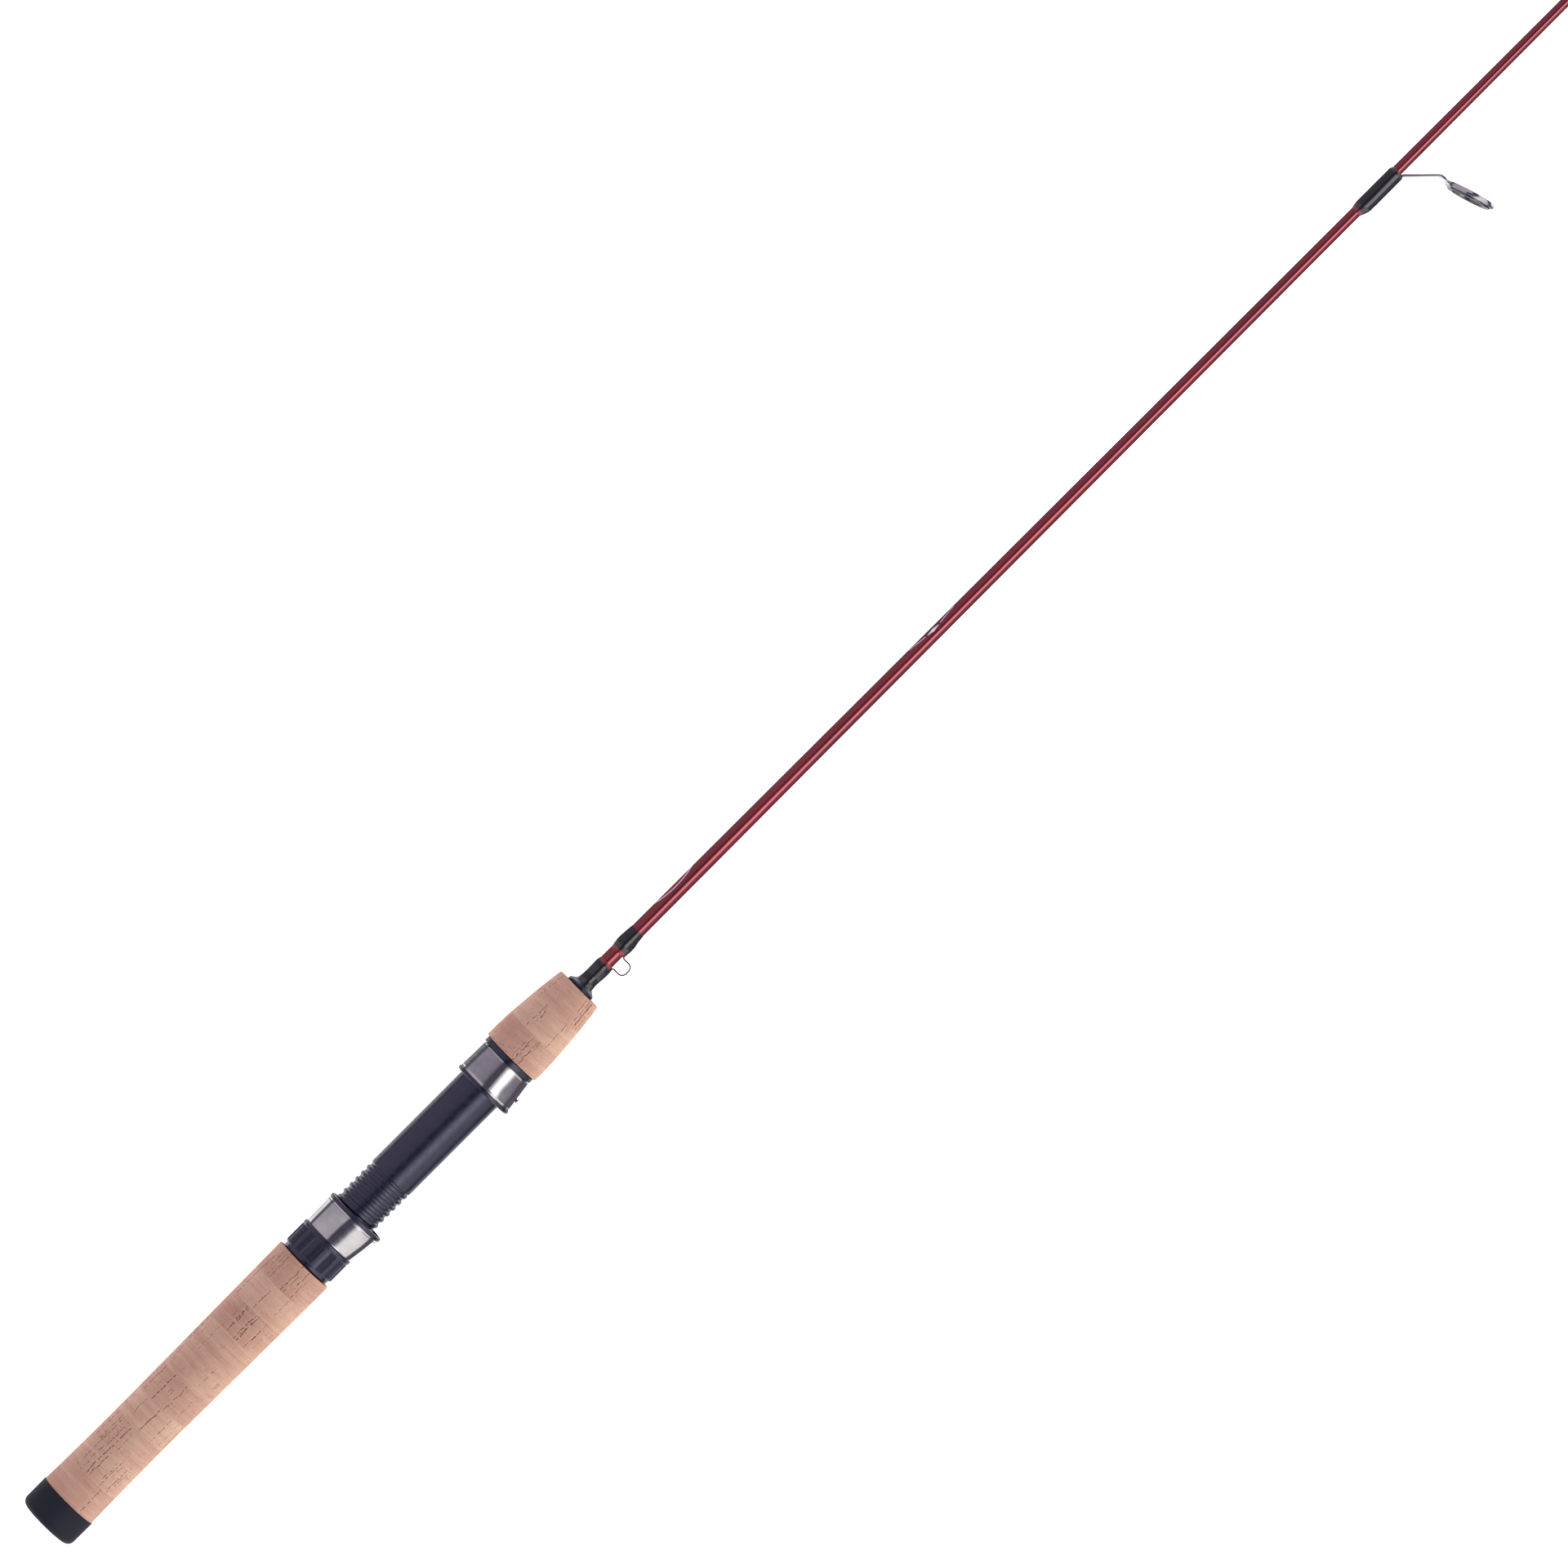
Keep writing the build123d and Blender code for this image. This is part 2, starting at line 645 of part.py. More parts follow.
def build_guide(name, ring_x, height, ring_outer, ring_inner):
    """A single-foot guide: strip foot and leg, ring frame, hard insert ring and the wrap over its foot."""
    size = ring_outer / largest_ring
    strip = max(guide_strip * size, 0.7)
    band = (ring_outer - ring_inner) / 2
    insert_outer = ring_outer - 0.76 * band
    frame_depth = max(guide_frame_depth * size, 1.2)
    insert_depth = frame_depth * guide_insert_depth / guide_frame_depth
    foot_end = ring_x - height * 0.477
    foot_start = foot_end - (8.0 + 13.0 * size)
    foot_y = blank_radius(foot_start) + 0.06
    leg_end_height = height - ring_outer / 2 * cos(radians(guide_tilt)) + 0.3 * size
    leg_end_x = ring_x - ring_outer / 2 * sin(radians(guide_tilt)) + 0.5 * frame_depth
    leg_width = 3.4 * size + 0.4
    ramp = 4.0 * size + 1.0

    with BuildPart() as frame:
        with BuildSketch() as side:
            with BuildLine():
                Polyline(
                    (foot_start, -foot_y),
                    (foot_end, -foot_y),
                    (leg_end_x, -leg_end_height + 2.5 * size),
                    (leg_end_x + 0.6 * size, -leg_end_height - 1.0 * size),
                    (leg_end_x - 0.45 * strip, -leg_end_height - 1.0 * size),
                    (leg_end_x - 1.15 * strip, -leg_end_height + 2.2 * size),
                    (foot_end - 0.3 * strip, -foot_y - strip),
                    (foot_start + ramp, -foot_y - strip),
                    (foot_start, -foot_y - 0.3),
                    close=True,
                )
            make_face()
        extrude(amount=leg_width / 2, both=True)
        with BuildSketch(Plane.XZ):
            with BuildLine():
                Polyline(
                    (foot_start - 1, -0.7),
                    (foot_start + ramp, -foot_width / 2),
                    (foot_end - 1, -foot_width / 2),
                    (leg_end_x - 1.5 * strip, -leg_width / 2),
                    (leg_end_x + 5, -leg_width / 2),
                    (leg_end_x + 5, leg_width / 2),
                    (leg_end_x - 1.5 * strip, leg_width / 2),
                    (foot_end - 1, foot_width / 2),
                    (foot_start + ramp, foot_width / 2),
                    (foot_start - 1, 0.7),
                    close=True,
                )
            make_face()
        extrude(amount=height + ring_outer, mode=Mode.INTERSECT)
        with BuildSketch(guide_frame_plane(ring_x, height, -frame_depth / 2)):
            Circle(ring_outer / 2)
        extrude(amount=frame_depth)
        with BuildSketch(guide_frame_plane(ring_x, height, -frame_depth)):
            Circle(insert_outer / 2 + 0.02)
        extrude(amount=3 * frame_depth, mode=Mode.SUBTRACT)
    save(frame.part, f"{name}_frame")

    with BuildPart() as insert:
        with BuildSketch(guide_frame_plane(ring_x, height, -frame_depth / 2 + 0.1)):
            Circle(insert_outer / 2)
            Circle(ring_inner / 2, mode=Mode.SUBTRACT)
        extrude(amount=insert_depth)
        fillet(insert.edges(), 0.3 * min(insert_depth, (insert_outer - ring_inner) / 2))
    save(insert.part, f"{name}_ring")

    cover = 0.65 * min(size + 0.25, 1.0)
    least_cover = 0.42
    peak = foot_y + strip + 0.35
    wrap_start = foot_start - 1.8
    sections = [(wrap_start, *[blank_radius(wrap_start) + 0.12] * 3)]
    for x, bulge in [(foot_start, 0.3), (foot_start + ramp, 1.0), (foot_end - 0.6, 1.0)]:
        bare = blank_radius(x)
        top = bare + cover
        low = top + (peak - top) * bulge
        sections.append((x, top, low, max(top, bare + least_cover)))
    with BuildPart() as wrap:
        add(thread_wrap(sections))
        add(frame.part, mode=Mode.SUBTRACT)
    save(wrap.part, f"{name}_wrap")


for guide_name, guide_sizes in guides.items():
    build_guide(guide_name, *guide_sizes)


# ---------------------------------------------------------------- tip top
ring_centre_x = tip_end - tip_ring_depth / 2
with BuildPart() as tip_frame:
    with BuildSketch(yz_plane(tip_tube_start)):
        Circle(tip_tube_radius)
    extrude(amount=tip_tube_end - tip_tube_start)
    for side in (-1, 1):
        with BuildLine():
            brace = Spline(
                (tip_tube_end - 2.5, -0.2, side * (tip_tube_radius - 0.15)),
                (tip_tube_end - 0.5, -2.0, side * 2.4),
                (ring_centre_x, -tip_ring_height + 0.6, side * (tip_ring_outer / 2 - 0.55)),
                tangents=((1, 0, 0), (0.3, -1, 0)),
            )
        with BuildSketch(Plane(origin=brace @ 0, z_dir=brace % 0)):
            Circle(0.5)
        sweep(path=brace)
    with BuildSketch(yz_plane(tip_end - tip_ring_depth, -tip_ring_height)):
        Circle(tip_ring_outer / 2)
    extrude(amount=tip_ring_depth * 0.7)
    with BuildSketch(yz_plane(tip_end - 3 * tip_ring_depth, -tip_ring_height)):
        Circle((tip_ring_outer + tip_ring_inner) / 4 + 0.22)
    extrude(amount=4 * tip_ring_depth, mode=Mode.SUBTRACT)
    with BuildSketch(yz_plane(tip_tube_start - 1)):
        Circle(blank_radius(tip_tube_start) + 0.05)
    extrude(amount=blank_end + 0.2 - tip_tube_start + 1, mode=Mode.SUBTRACT)
save(tip_frame.part, "tip_top_frame")

with BuildPart() as tip_ring:
    with BuildSketch(yz_plane(tip_end - tip_ring_depth, -tip_ring_height)):
        Circle((tip_ring_outer + tip_ring_inner) / 4 + 0.2)
        Circle(tip_ring_inner / 2, mode=Mode.SUBTRACT)
    extrude(amount=tip_ring_depth)
    fillet(tip_ring.edges(), 0.28)
save(tip_ring.part, "tip_top_ring")

tip_wrap = thread_wrap([
    (tip_tube_start - 5.5, *[blank_radius(tip_tube_start - 5.5) + 0.12] * 3),
    (tip_tube_start - 4.5, *[blank_radius(tip_tube_start - 4.5) + 0.38] * 3),
    (tip_tube_start - 0.1, *[tip_tube_radius + 0.05] * 3),
])
save(tip_wrap, "tip_top_wrap")
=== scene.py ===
"""Looks for a one-piece ice fishing rod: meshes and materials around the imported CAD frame.

Metres throughout. +X runs from the butt to the tip, the guides are on the -Y side, +Z is up.
Round a section, an angle of 0 is +Y and a quarter turn is +Z, the side that faces the camera.
"""
import json
import math

import bpy
import numpy as np
from mathutils import Matrix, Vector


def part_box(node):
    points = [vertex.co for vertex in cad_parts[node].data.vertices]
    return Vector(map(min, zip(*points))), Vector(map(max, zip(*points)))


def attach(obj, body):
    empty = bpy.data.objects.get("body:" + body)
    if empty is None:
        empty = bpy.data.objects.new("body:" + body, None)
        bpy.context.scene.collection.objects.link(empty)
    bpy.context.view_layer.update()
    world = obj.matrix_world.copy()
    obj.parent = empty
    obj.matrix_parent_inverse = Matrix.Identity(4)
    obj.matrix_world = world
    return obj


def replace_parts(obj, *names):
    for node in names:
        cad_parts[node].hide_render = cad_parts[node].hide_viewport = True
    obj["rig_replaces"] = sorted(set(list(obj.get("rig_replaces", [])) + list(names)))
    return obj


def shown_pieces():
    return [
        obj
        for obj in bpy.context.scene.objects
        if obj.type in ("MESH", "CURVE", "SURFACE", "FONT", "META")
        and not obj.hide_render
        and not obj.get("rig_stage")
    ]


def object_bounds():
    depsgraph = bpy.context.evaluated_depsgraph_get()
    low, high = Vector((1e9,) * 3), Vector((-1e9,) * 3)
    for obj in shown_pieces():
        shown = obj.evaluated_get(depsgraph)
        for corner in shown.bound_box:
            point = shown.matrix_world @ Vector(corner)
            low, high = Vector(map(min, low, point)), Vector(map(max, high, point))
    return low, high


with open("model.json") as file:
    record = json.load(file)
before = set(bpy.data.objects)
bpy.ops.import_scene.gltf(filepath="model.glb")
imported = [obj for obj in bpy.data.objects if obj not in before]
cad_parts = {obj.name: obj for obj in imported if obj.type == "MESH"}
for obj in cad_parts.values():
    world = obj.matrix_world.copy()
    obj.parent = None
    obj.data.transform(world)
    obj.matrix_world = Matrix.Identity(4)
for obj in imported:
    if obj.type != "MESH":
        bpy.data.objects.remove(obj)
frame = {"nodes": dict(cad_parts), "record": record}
cad_box = [list(corner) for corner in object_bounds()]
record = frame["record"]
mm = 0.001
turn = 2 * math.pi
seed = 20


# ---- node tools
class Nodes:
    """Short calls for one node tree. A value is a number, a colour or another node's output."""

    def __init__(self, tree):
        self.nodes = tree.nodes
        self.links = tree.links

    def put(self, socket, value):
        if isinstance(value, (int, float, tuple)):
            socket.default_value = value
        else:
            self.links.new(value, socket)

    def add(self, kind, values, **settings):
        """The outputs of a new node: values go to its sockets, settings are its own."""
        node = self.nodes.new(f"ShaderNode{kind}")
        for name, setting in settings.items():
            setattr(node, name, setting)
        for key, value in values.items():
            self.put(node.inputs[key], value)
        return node.outputs

    def math(self, operation, a, b=0.0, c=0.0):
        return self.add("Math", {0: a, 1: b, 2: c}, operation=operation)[0]

    def mix(self, share, first, second):
        return self.add("Mix", {0: share, 6: first, 7: second}, data_type="RGBA")[2]

    def spread(self, value, low, high, kind="LINEAR"):
        """From 0 where value is low to 1 where it is high."""
        limits = {"Value": value, "From Min": low, "From Max": high}
        return self.add("MapRange", limits, interpolation_type=kind)[0]

    def split(self, vector):
        return self.add("SeparateXYZ", {0: vector})

    def join(self, x, y, z):
        return self.add("CombineXYZ", {0: x, 1: y, 2: z})[0]

    def stretch(self, vector, scale=(1, 1, 1), offset=(0, 0, 0)):
        return self.add("Mapping", {"Vector": vector, "Scale": scale, "Location": offset})[0]

    def noise(self, vector, scale, detail=3.0, roughness=0.5, distortion=0.0):
        values = {"Vector": vector, "Scale": scale, "Detail": detail}
        values.update({"Roughness": roughness, "Distortion": distortion})
        return self.add("TexNoise", values)["Fac"]

    def waves(self, vector, scale, distortion, detail, detail_scale):
        values = {"Vector": vector, "Scale": scale, "Distortion": distortion}
        values.update({"Detail": detail, "Detail Scale": detail_scale})
        return self.add("TexWave", values, bands_direction="X")["Fac"]

    def cells(self, vector, scale):
        return self.add("TexVoronoi", {"Vector": vector, "Scale": scale})["Distance"]

    def attribute(self, name):
        return self.add("Attribute", {}, attribute_name=name)["Fac"]

    def ramp(self, value, *stops):
        """Colours or greys along a value: stops are (position, colour or grey)."""
        node = self.nodes.new("ShaderNodeValToRGB")
        self.links.new(value, node.inputs["Fac"])
        elements = node.color_ramp.elements
        while len(elements) < len(stops):
            elements.new(0.5)
        for element, (position, tone) in zip(elements, stops):
            colour = tone if isinstance(tone, tuple) else (tone, tone, tone)
            element.position = position
            element.color = (*colour, 1)
        return node.outputs["Color"]


class Shading(Nodes):
    """One procedural material and its shader."""

    def __init__(self, name):
        self.material = bpy.data.materials.new(name)
        self.material.use_nodes = True
        super().__init__(self.material.node_tree)
        self.shader = self.nodes["Principled BSDF"]
        self.place = self.add("TexCoord", {})["Object"]

    def set(self, **values):
        """Fixed values on the shader's own sockets: names with _ for spaces."""
        for name, value in values.items():
            self.shader.inputs[name.replace("_", " ")].default_value = value

    def wire(self, source, socket):
        self.links.new(source, self.shader.inputs[socket])

    def bump(self, height, distance, strength=1.0, socket="Normal"):
        values = {"Strength": strength, "Distance": distance, "Height": height}
        self.wire(self.add("Bump", values)[0], socket)


# ---- camera, floor and light
def added(name, data):
    """A new object in the scene."""
    made = bpy.data.objects.new(name, data)
    bpy.context.collection.objects.link(made)
    return made


def make_camera():
    """A long lens straight above the handle, turned so that the rod climbs to the right."""
    data = bpy.data.cameras.new("camera")
    camera = added("camera", data)
    distance = 4.0
    view_width = 0.5952
    aim_x, aim_y = 0.3972, 0.0001
    heading = math.radians(-45.03)
    data.sensor_width = 36.0
    data.lens = data.sensor_width * distance / view_width
    data.clip_start = 0.1
    data.clip_end = 100.0
    camera.location = (aim_x, aim_y, distance)
    camera.rotation_mode = "XYZ"
    camera.rotation_euler = (0, 0, heading)
    bpy.context.scene.camera = camera


def make_floor():
    """A pale floor under the rod, bright enough that it shows no hard shadow."""
    reach = 60.0
    low = cad_box[0][2]
    mesh = bpy.data.meshes.new("floor")
    corners = [(-reach, -reach, low), (reach, -reach, low), (reach, reach, low), (-reach, reach, low)]
    mesh.from_pydata(corners, [], [(0, 1, 2, 3)])
    floor = added("floor", mesh)
    look = Shading("floor_white")
    look.set(Base_Color=(0.9, 0.9, 0.9, 1), Roughness=0.9)
    look.set(Emission_Color=(1, 1, 1, 1), Emission_Strength=0.85)
    mesh.materials.append(look.material)
    floor.visible_glossy = False
    floor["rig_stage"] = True


def make_studio():
    """Soft light round the rod, as long walls beside it.

    Each stop is a direction round the rod in degrees (0 is overhead, 90 is level on the +Y side) and
    the light's colour there, at a quarter of its strength. Level with the blank the walls are lower
    and the light on the -Y side is a narrower, brighter strip.
    """
    bright = (0.62, 0.62, 0.62)
    grey = (0.24, 0.24, 0.26)
    back = (0.20, 0.20, 0.22)
    gap = (0.036, 0.033, 0.05)
    low_gap = (0.036, 0.03, 0.045)
    side_gap = (0.06, 0.055, 0.065)
    low_back = (0.06, 0.055, 0.07)
    seam = (0.05, 0.045, 0.06)
    strip = (0.90, 0.87, 0.88)
    broad_walls = [
        (-180, back), (-158, grey),
        (-150, bright), (-138, bright),
        (-132, seam), (-105, (0.045, 0.042, 0.055)),
        (-98, (0.42, 0.405, 0.40)), (-60, (0.49, 0.475, 0.455)),
        (-38, (0.47, 0.46, 0.45)), (-24, (0.085, 0.08, 0.10)),
        (-12, gap), (8, gap),
        (13, (0.235, 0.215, 0.24)), (60, (0.255, 0.235, 0.262)),
        (102, (0.23, 0.21, 0.235)), (108, side_gap),
        (120, side_gap), (127, bright),
        (150, bright), (158, grey),
        (180, back),
    ]
    narrow_walls = [
        (-180, low_back), (-104, seam),
        (-96, (0.10, 0.09, 0.11)), (-64, (0.13, 0.12, 0.14)),
        (-54, (0.38, 0.37, 0.38)), (-46, strip),
        (-30, strip), (-18, (0.30, 0.28, 0.30)),
        (-10, low_gap), (8, low_gap),
        (20, (0.11, 0.10, 0.125)), (60, (0.125, 0.11, 0.145)),
        (100, (0.13, 0.115, 0.145)), (108, seam),
        (180, low_back),
    ]
    strength = 4.0
    # Where the narrow walls begin and end, as the X part of the direction.
    narrow_edges = [(-0.11, -0.01), (0.28, 0.12)]
    world = bpy.data.worlds.new("studio")
    bpy.context.scene.world = world
    world.use_nodes = True
    light = Nodes(world.node_tree)
    direction = light.split(light.add("TexCoord", {})["Generated"])
    angle = light.math("ARCTAN2", direction["Y"], direction["Z"])
    share = light.spread(angle, -math.pi, math.pi)
    edges = [light.spread(direction["X"], low, high, "SMOOTHSTEP") for low, high in narrow_edges]
    ramps = []
    for walls in (broad_walls, narrow_walls):
        stops = [((degrees + 180) / 360, colour) for degrees, colour in walls]
        ramps.append(light.ramp(share, *stops))
    background = light.nodes["Background"].inputs
    light.put(background["Color"], light.mix(light.math("MULTIPLY", *edges), *ramps))
    background["Strength"].default_value = strength


make_camera()
make_floor()
make_studio()
bpy.context.scene.view_settings.view_transform = "Standard"


# ---- materials
def cork_material():
    """Natural cork: pinkish tan, growth lines across the ring, dark lenticels and pits from the mesh."""
    look = Shading("cork")
    tone = look.attribute("tone")
    pit = look.attribute("pit")
    pale = look.attribute("pale")
    own = look.join(tone, look.math("MULTIPLY", tone, 0.37), look.math("MULTIPLY", tone, 0.61))
    shifted = look.stretch(look.place, offset=own)
    patches = look.noise(look.stretch(shifted, (55, 70, 70)), 1.0, 2.0, 0.5, 0.4)
    bands = look.noise(look.stretch(shifted, (520, 38, 38)), 1.0, 3.0, 0.6, 0.25)
    lines = look.noise(look.stretch(shifted, (1500, 75, 75)), 1.0, 2.0, 0.6, 0.15)
    mottle = look.noise(shifted, 420, 3.0, 0.6)
    fine = look.noise(look.place, 1900, 3.0, 0.65)
    own_tone = look.math("FRACT", look.math("MULTIPLY", tone, 7.3))
    base = look.ramp(
        look.math("ADD", look.math("MULTIPLY", own_tone, 0.45), look.math("MULTIPLY", patches, 0.75)),
        (0.25, (0.400, 0.222, 0.170)),
        (0.45, (0.470, 0.277, 0.208)),
        (0.65, (0.520, 0.328, 0.240)),
        (0.85, (0.555, 0.368, 0.264)),
    )
    layers = [
        (bands, (0.36, 0.28), (0.5, 0.0), (0.40, 0.205, 0.145)),
        (bands, (0.55, 0.0), (0.7, 0.3), (0.66, 0.46, 0.34)),
        (lines, (0.30, 0.32), (0.46, 0.0), (0.36, 0.175, 0.12)),
        (mottle, (0.56, 0.0), (0.72, 0.35), (0.37, 0.19, 0.135)),
        (fine, (0.28, 0.3), (0.44, 0.0), (0.70, 0.52, 0.42)),
        (fine, (0.6, 0.0), (0.74, 0.42), (0.27, 0.12, 0.08)),
    ]
    tan = base
    for pattern, first, second, colour in layers:
        tan = look.mix(look.ramp(pattern, first, second), tan, (*colour, 1))
    rim = look.math("MULTIPLY", pale, look.ramp(mottle, (0.46, 0.0), (0.6, 0.34)))
    tan = look.mix(rim, tan, (0.74, 0.58, 0.44, 1))
    ragged = look.math("ADD", pit, look.math("MULTIPLY", look.math("SUBTRACT", fine, 0.5), 0.5))
    dark = look.ramp(ragged, (0.26, 0.0), (0.46, 0.6), (0.8, 0.95))
    look.wire(look.mix(dark, tan, (0.135, 0.050, 0.032, 1)), "Base Color")
    look.wire(look.ramp(fine, (0.3, 0.72), (0.7, 0.86)), "Roughness")
    look.set(Specular_IOR_Level=0.18)
    height = look.math("ADD", look.math("MULTIPLY", fine, 0.7), look.math("MULTIPLY", lines, 0.5))
    look.bump(height, 0.0001, 0.55)
    return look.material


def rubber_material():
    """Moulded black rubber with a fine matt skin and faint scuffs."""
    look = Shading("black_rubber")
    smudge = look.noise(look.place, 90, 3.0)
    grain = look.noise(look.place, 2600, 2.0, 0.6)
    scuff = look.noise(look.stretch(look.place, (500, 2500, 2500)), 1.0, 2.0, 0.7)
    base = look.ramp(smudge, (0.3, (0.0085, 0.010, 0.0185)), (0.7, (0.0125, 0.0140, 0.0240)))
    scuffed = look.ramp(scuff, (0.68, 0.0), (0.8, 0.5))
    look.wire(look.mix(scuffed, base, (0.035, 0.037, 0.05, 1)), "Base Color")
    look.wire(look.ramp(smudge, (0.3, 0.6), (0.7, 0.72)), "Roughness")
    look.set(Specular_IOR_Level=0.2)
    look.bump(grain, 0.00004, 0.35)
    return look.material


def nylon_material(name, level):
    """Glass-filled nylon: blue-black, satin, with a fine grain; level scales how much it reflects."""
    look = Shading(name)
    mottled = look.noise(look.place, 420, 3.0, 0.6)
    grain = look.noise(look.place, 2900, 2.0, 0.6)
    wear = look.noise(look.stretch(look.place, (300, 900, 900)), 1.0, 3.0, 0.7)
    base = look.ramp(mottled, (0.3, (0.0025, 0.003, 0.0085)), (0.7, (0.005, 0.0055, 0.0145)))
    worn = look.ramp(wear, (0.62, 0.0), (0.8, 0.3))
    look.wire(look.mix(worn, base, (0.04, 0.04, 0.07, 1)), "Base Color")
    look.wire(look.ramp(mottled, (0.32, 0.22), (0.68, 0.36)), "Roughness")
    look.set(IOR=1.6, Specular_IOR_Level=level, Specular_Tint=(0.72, 0.73, 1.0, 1.0))
    look.bump(grain, 0.00003, 0.45)
    return look.material


def steel_material(name, tint, roughness, brush, cloud_scale):
    """Polished steel with hair lines: brush scales the hair lines along X, Y and Z."""
    look = Shading(name)
    hair = look.noise(look.stretch(look.place, brush), 1.0, 3.0, 0.6)
    cloud = look.noise(look.place, cloud_scale, 3.0, 0.6)
    dimmed = tuple(0.84 * c for c in tint)
    look.wire(look.ramp(cloud, (0.35, tint), (0.7, dimmed)), "Base Color")
    look.wire(look.ramp(hair, (0.3, roughness), (0.72, roughness + 0.1)), "Roughness")
    look.set(Metallic=1.0)
    ripple = look.math("ADD", look.math("MULTIPLY", hair, 0.35), cloud)
    look.bump(ripple, 0.00003, 0.3)
    return look.material


def red_paint(look):
    """Colour of the blank's red metallic paint."""
    flake = look.cells(look.place, 7000)
    drift = look.noise(look.stretch(look.place, (22, 380, 380)), 1.0, 2.0, 0.5, 0.6)
    red = look.ramp(drift, (0.3, (0.185, 0.0045, 0.012)), (0.7, (0.255, 0.008, 0.017)))
    return look.mix(look.ramp(flake, (0.05, 0.25), (0.3, 0.0)), red, (0.46, 0.05, 0.05, 1))


def blank_material():
    """Red metallic paint under clear varnish, with plain silver trim."""
    look = Shading("blank_red")
    x, y, z = look.split(look.place)
    trim, badge = silver_trim(look, x, y, z)
    filled = look.mix(badge, red_paint(look), (0.42, 0.010, 0.014, 1))
    look.wire(look.mix(trim, filled, (0.82, 0.80, 0.82, 1)), "Base Color")
    look.wire(look.ramp(trim, (0.0, 0.27), (1.0, 0.42)), "Roughness")
    look.wire(look.ramp(trim, (0.0, 0.85), (1.0, 0.25)), "Metallic")
    look.set(Coat_Weight=1.0, Coat_Roughness=0.05, Coat_IOR=1.62)
    return look.material


def window(look, value, low, high):
    """1 where low < value < high."""
    above = look.math("GREATER_THAN", value, low)
    return look.math("MULTIPLY", above, look.math("LESS_THAN", value, high))


def slanted_line(look, x, s, start, end, width):
    """1 on a thin straight line over the surface between two (x, s) places."""
    slope = (end[1] - start[1]) / (end[0] - start[0])
    middle = look.math("MULTIPLY_ADD", look.math("SUBTRACT", x, start[0]), slope, start[1])
    off = look.math("ABSOLUTE", look.math("SUBTRACT", s, middle))
    return look.math("MULTIPLY", look.math("LESS_THAN", off, width / 2), window(look, x, start[0], end[0]))


def silver_trim(look, x, y, z):
    """Plain trim on the blank: an oval outline with a brighter fill, and two slanted lines by a lozenge.

    s is the distance round the surface from the +Y side towards +Z.
    """
    surface_radius = 2.85 * mm
    s = look.math("MULTIPLY", look.math("ARCTAN2", z, y), surface_radius)

    def scaled(value, middle, half):
        return look.math("DIVIDE", look.math("SUBTRACT", value, middle), half)

    along = look.math("POWER", scaled(x, 340.5 * mm, 10.2 * mm), 2.0)
    around = look.math("POWER", scaled(s, 0.0, 2.75 * mm), 2.0)
    out = look.math("SQRT", look.math("ADD", along, around))
    badge = look.math("LESS_THAN", out, 1.0)
    trim = window(look, out, 0.93, 1.03)
    lozenge_x = look.math("ABSOLUTE", scaled(x, 478.5 * mm, 3.2 * mm))
    lozenge_s = look.math("ABSOLUTE", scaled(s, 2.9 * mm, 0.7 * mm))
    lozenge = look.math("LESS_THAN", look.math("ADD", lozenge_x, lozenge_s), 1.0)
    trim = look.math("MAXIMUM", trim, lozenge)
    for start, end in [
        ((0.4665, 1.4 * mm), (0.4745, 2.7 * mm)),
        ((0.4825, 2.7 * mm), (0.4905, 1.4 * mm)),
    ]:
        trim = look.math("MAXIMUM", trim, slanted_line(look, x, s, start, end, 0.28 * mm))
    return trim, badge


def wrap_material():
    """Black thread wound round the blank, seen through thick clear epoxy; bare red where it ends."""
    look = Shading("wrap_black")
    thread = look.waves(look.place, 1150.0, 0.25, 1.0, 3.0)
    pooled = look.noise(look.stretch(look.place, (170, 260, 260)), 1.0, 2.0)
    black = look.ramp(thread, (0.2, (0.0022, 0.0016, 0.004)), (0.8, (0.0058, 0.0045, 0.009)))
    covered = look.ramp(look.attribute("thread"), (0.45, 0.0), (0.55, 1.0))
    look.wire(look.mix(covered, red_paint(look), black), "Base Color")
    look.wire(look.ramp(covered, (0.0, 0.85), (1.0, 0.0)), "Metallic")
    look.wire(look.ramp(thread, (0.2, 0.6), (0.8, 0.45)), "Roughness")
    look.set(Coat_Weight=1.0, Coat_Roughness=0.06, Coat_IOR=1.55, Specular_IOR_Level=0.12)
    look.bump(thread, 0.000012, 0.4)
    look.bump(pooled, 0.00002, 0.3, "Coat Normal")
    return look.material


def insert_material():
    """Hard polished guide ring: near-black glaze."""
    look = Shading("guide_insert")
    cloud = look.noise(look.place, 500, 2.0)
    look.wire(look.ramp(cloud, (0.3, (0.012, 0.011, 0.013)), (0.7, (0.022, 0.02, 0.024))), "Base Color")
    look.wire(look.ramp(cloud, (0.3, 0.05), (0.7, 0.1)), "Roughness")
    look.set(IOR=1.9)
    return look.material


def hidden_cork_material():
    """Plain turned cork for the arbors inside the seat."""
    look = Shading("arbor")
    fine = look.noise(look.place, 900, 3.0, 0.6)
    look.wire(look.ramp(fine, (0.3, (0.5, 0.34, 0.22)), (0.7, (0.64, 0.46, 0.31))), "Base Color")
    look.wire(look.ramp(fine, (0.3, 0.75), (0.7, 0.9)), "Roughness")
    look.bump(fine, 0.0001, 0.5)
    return look.material


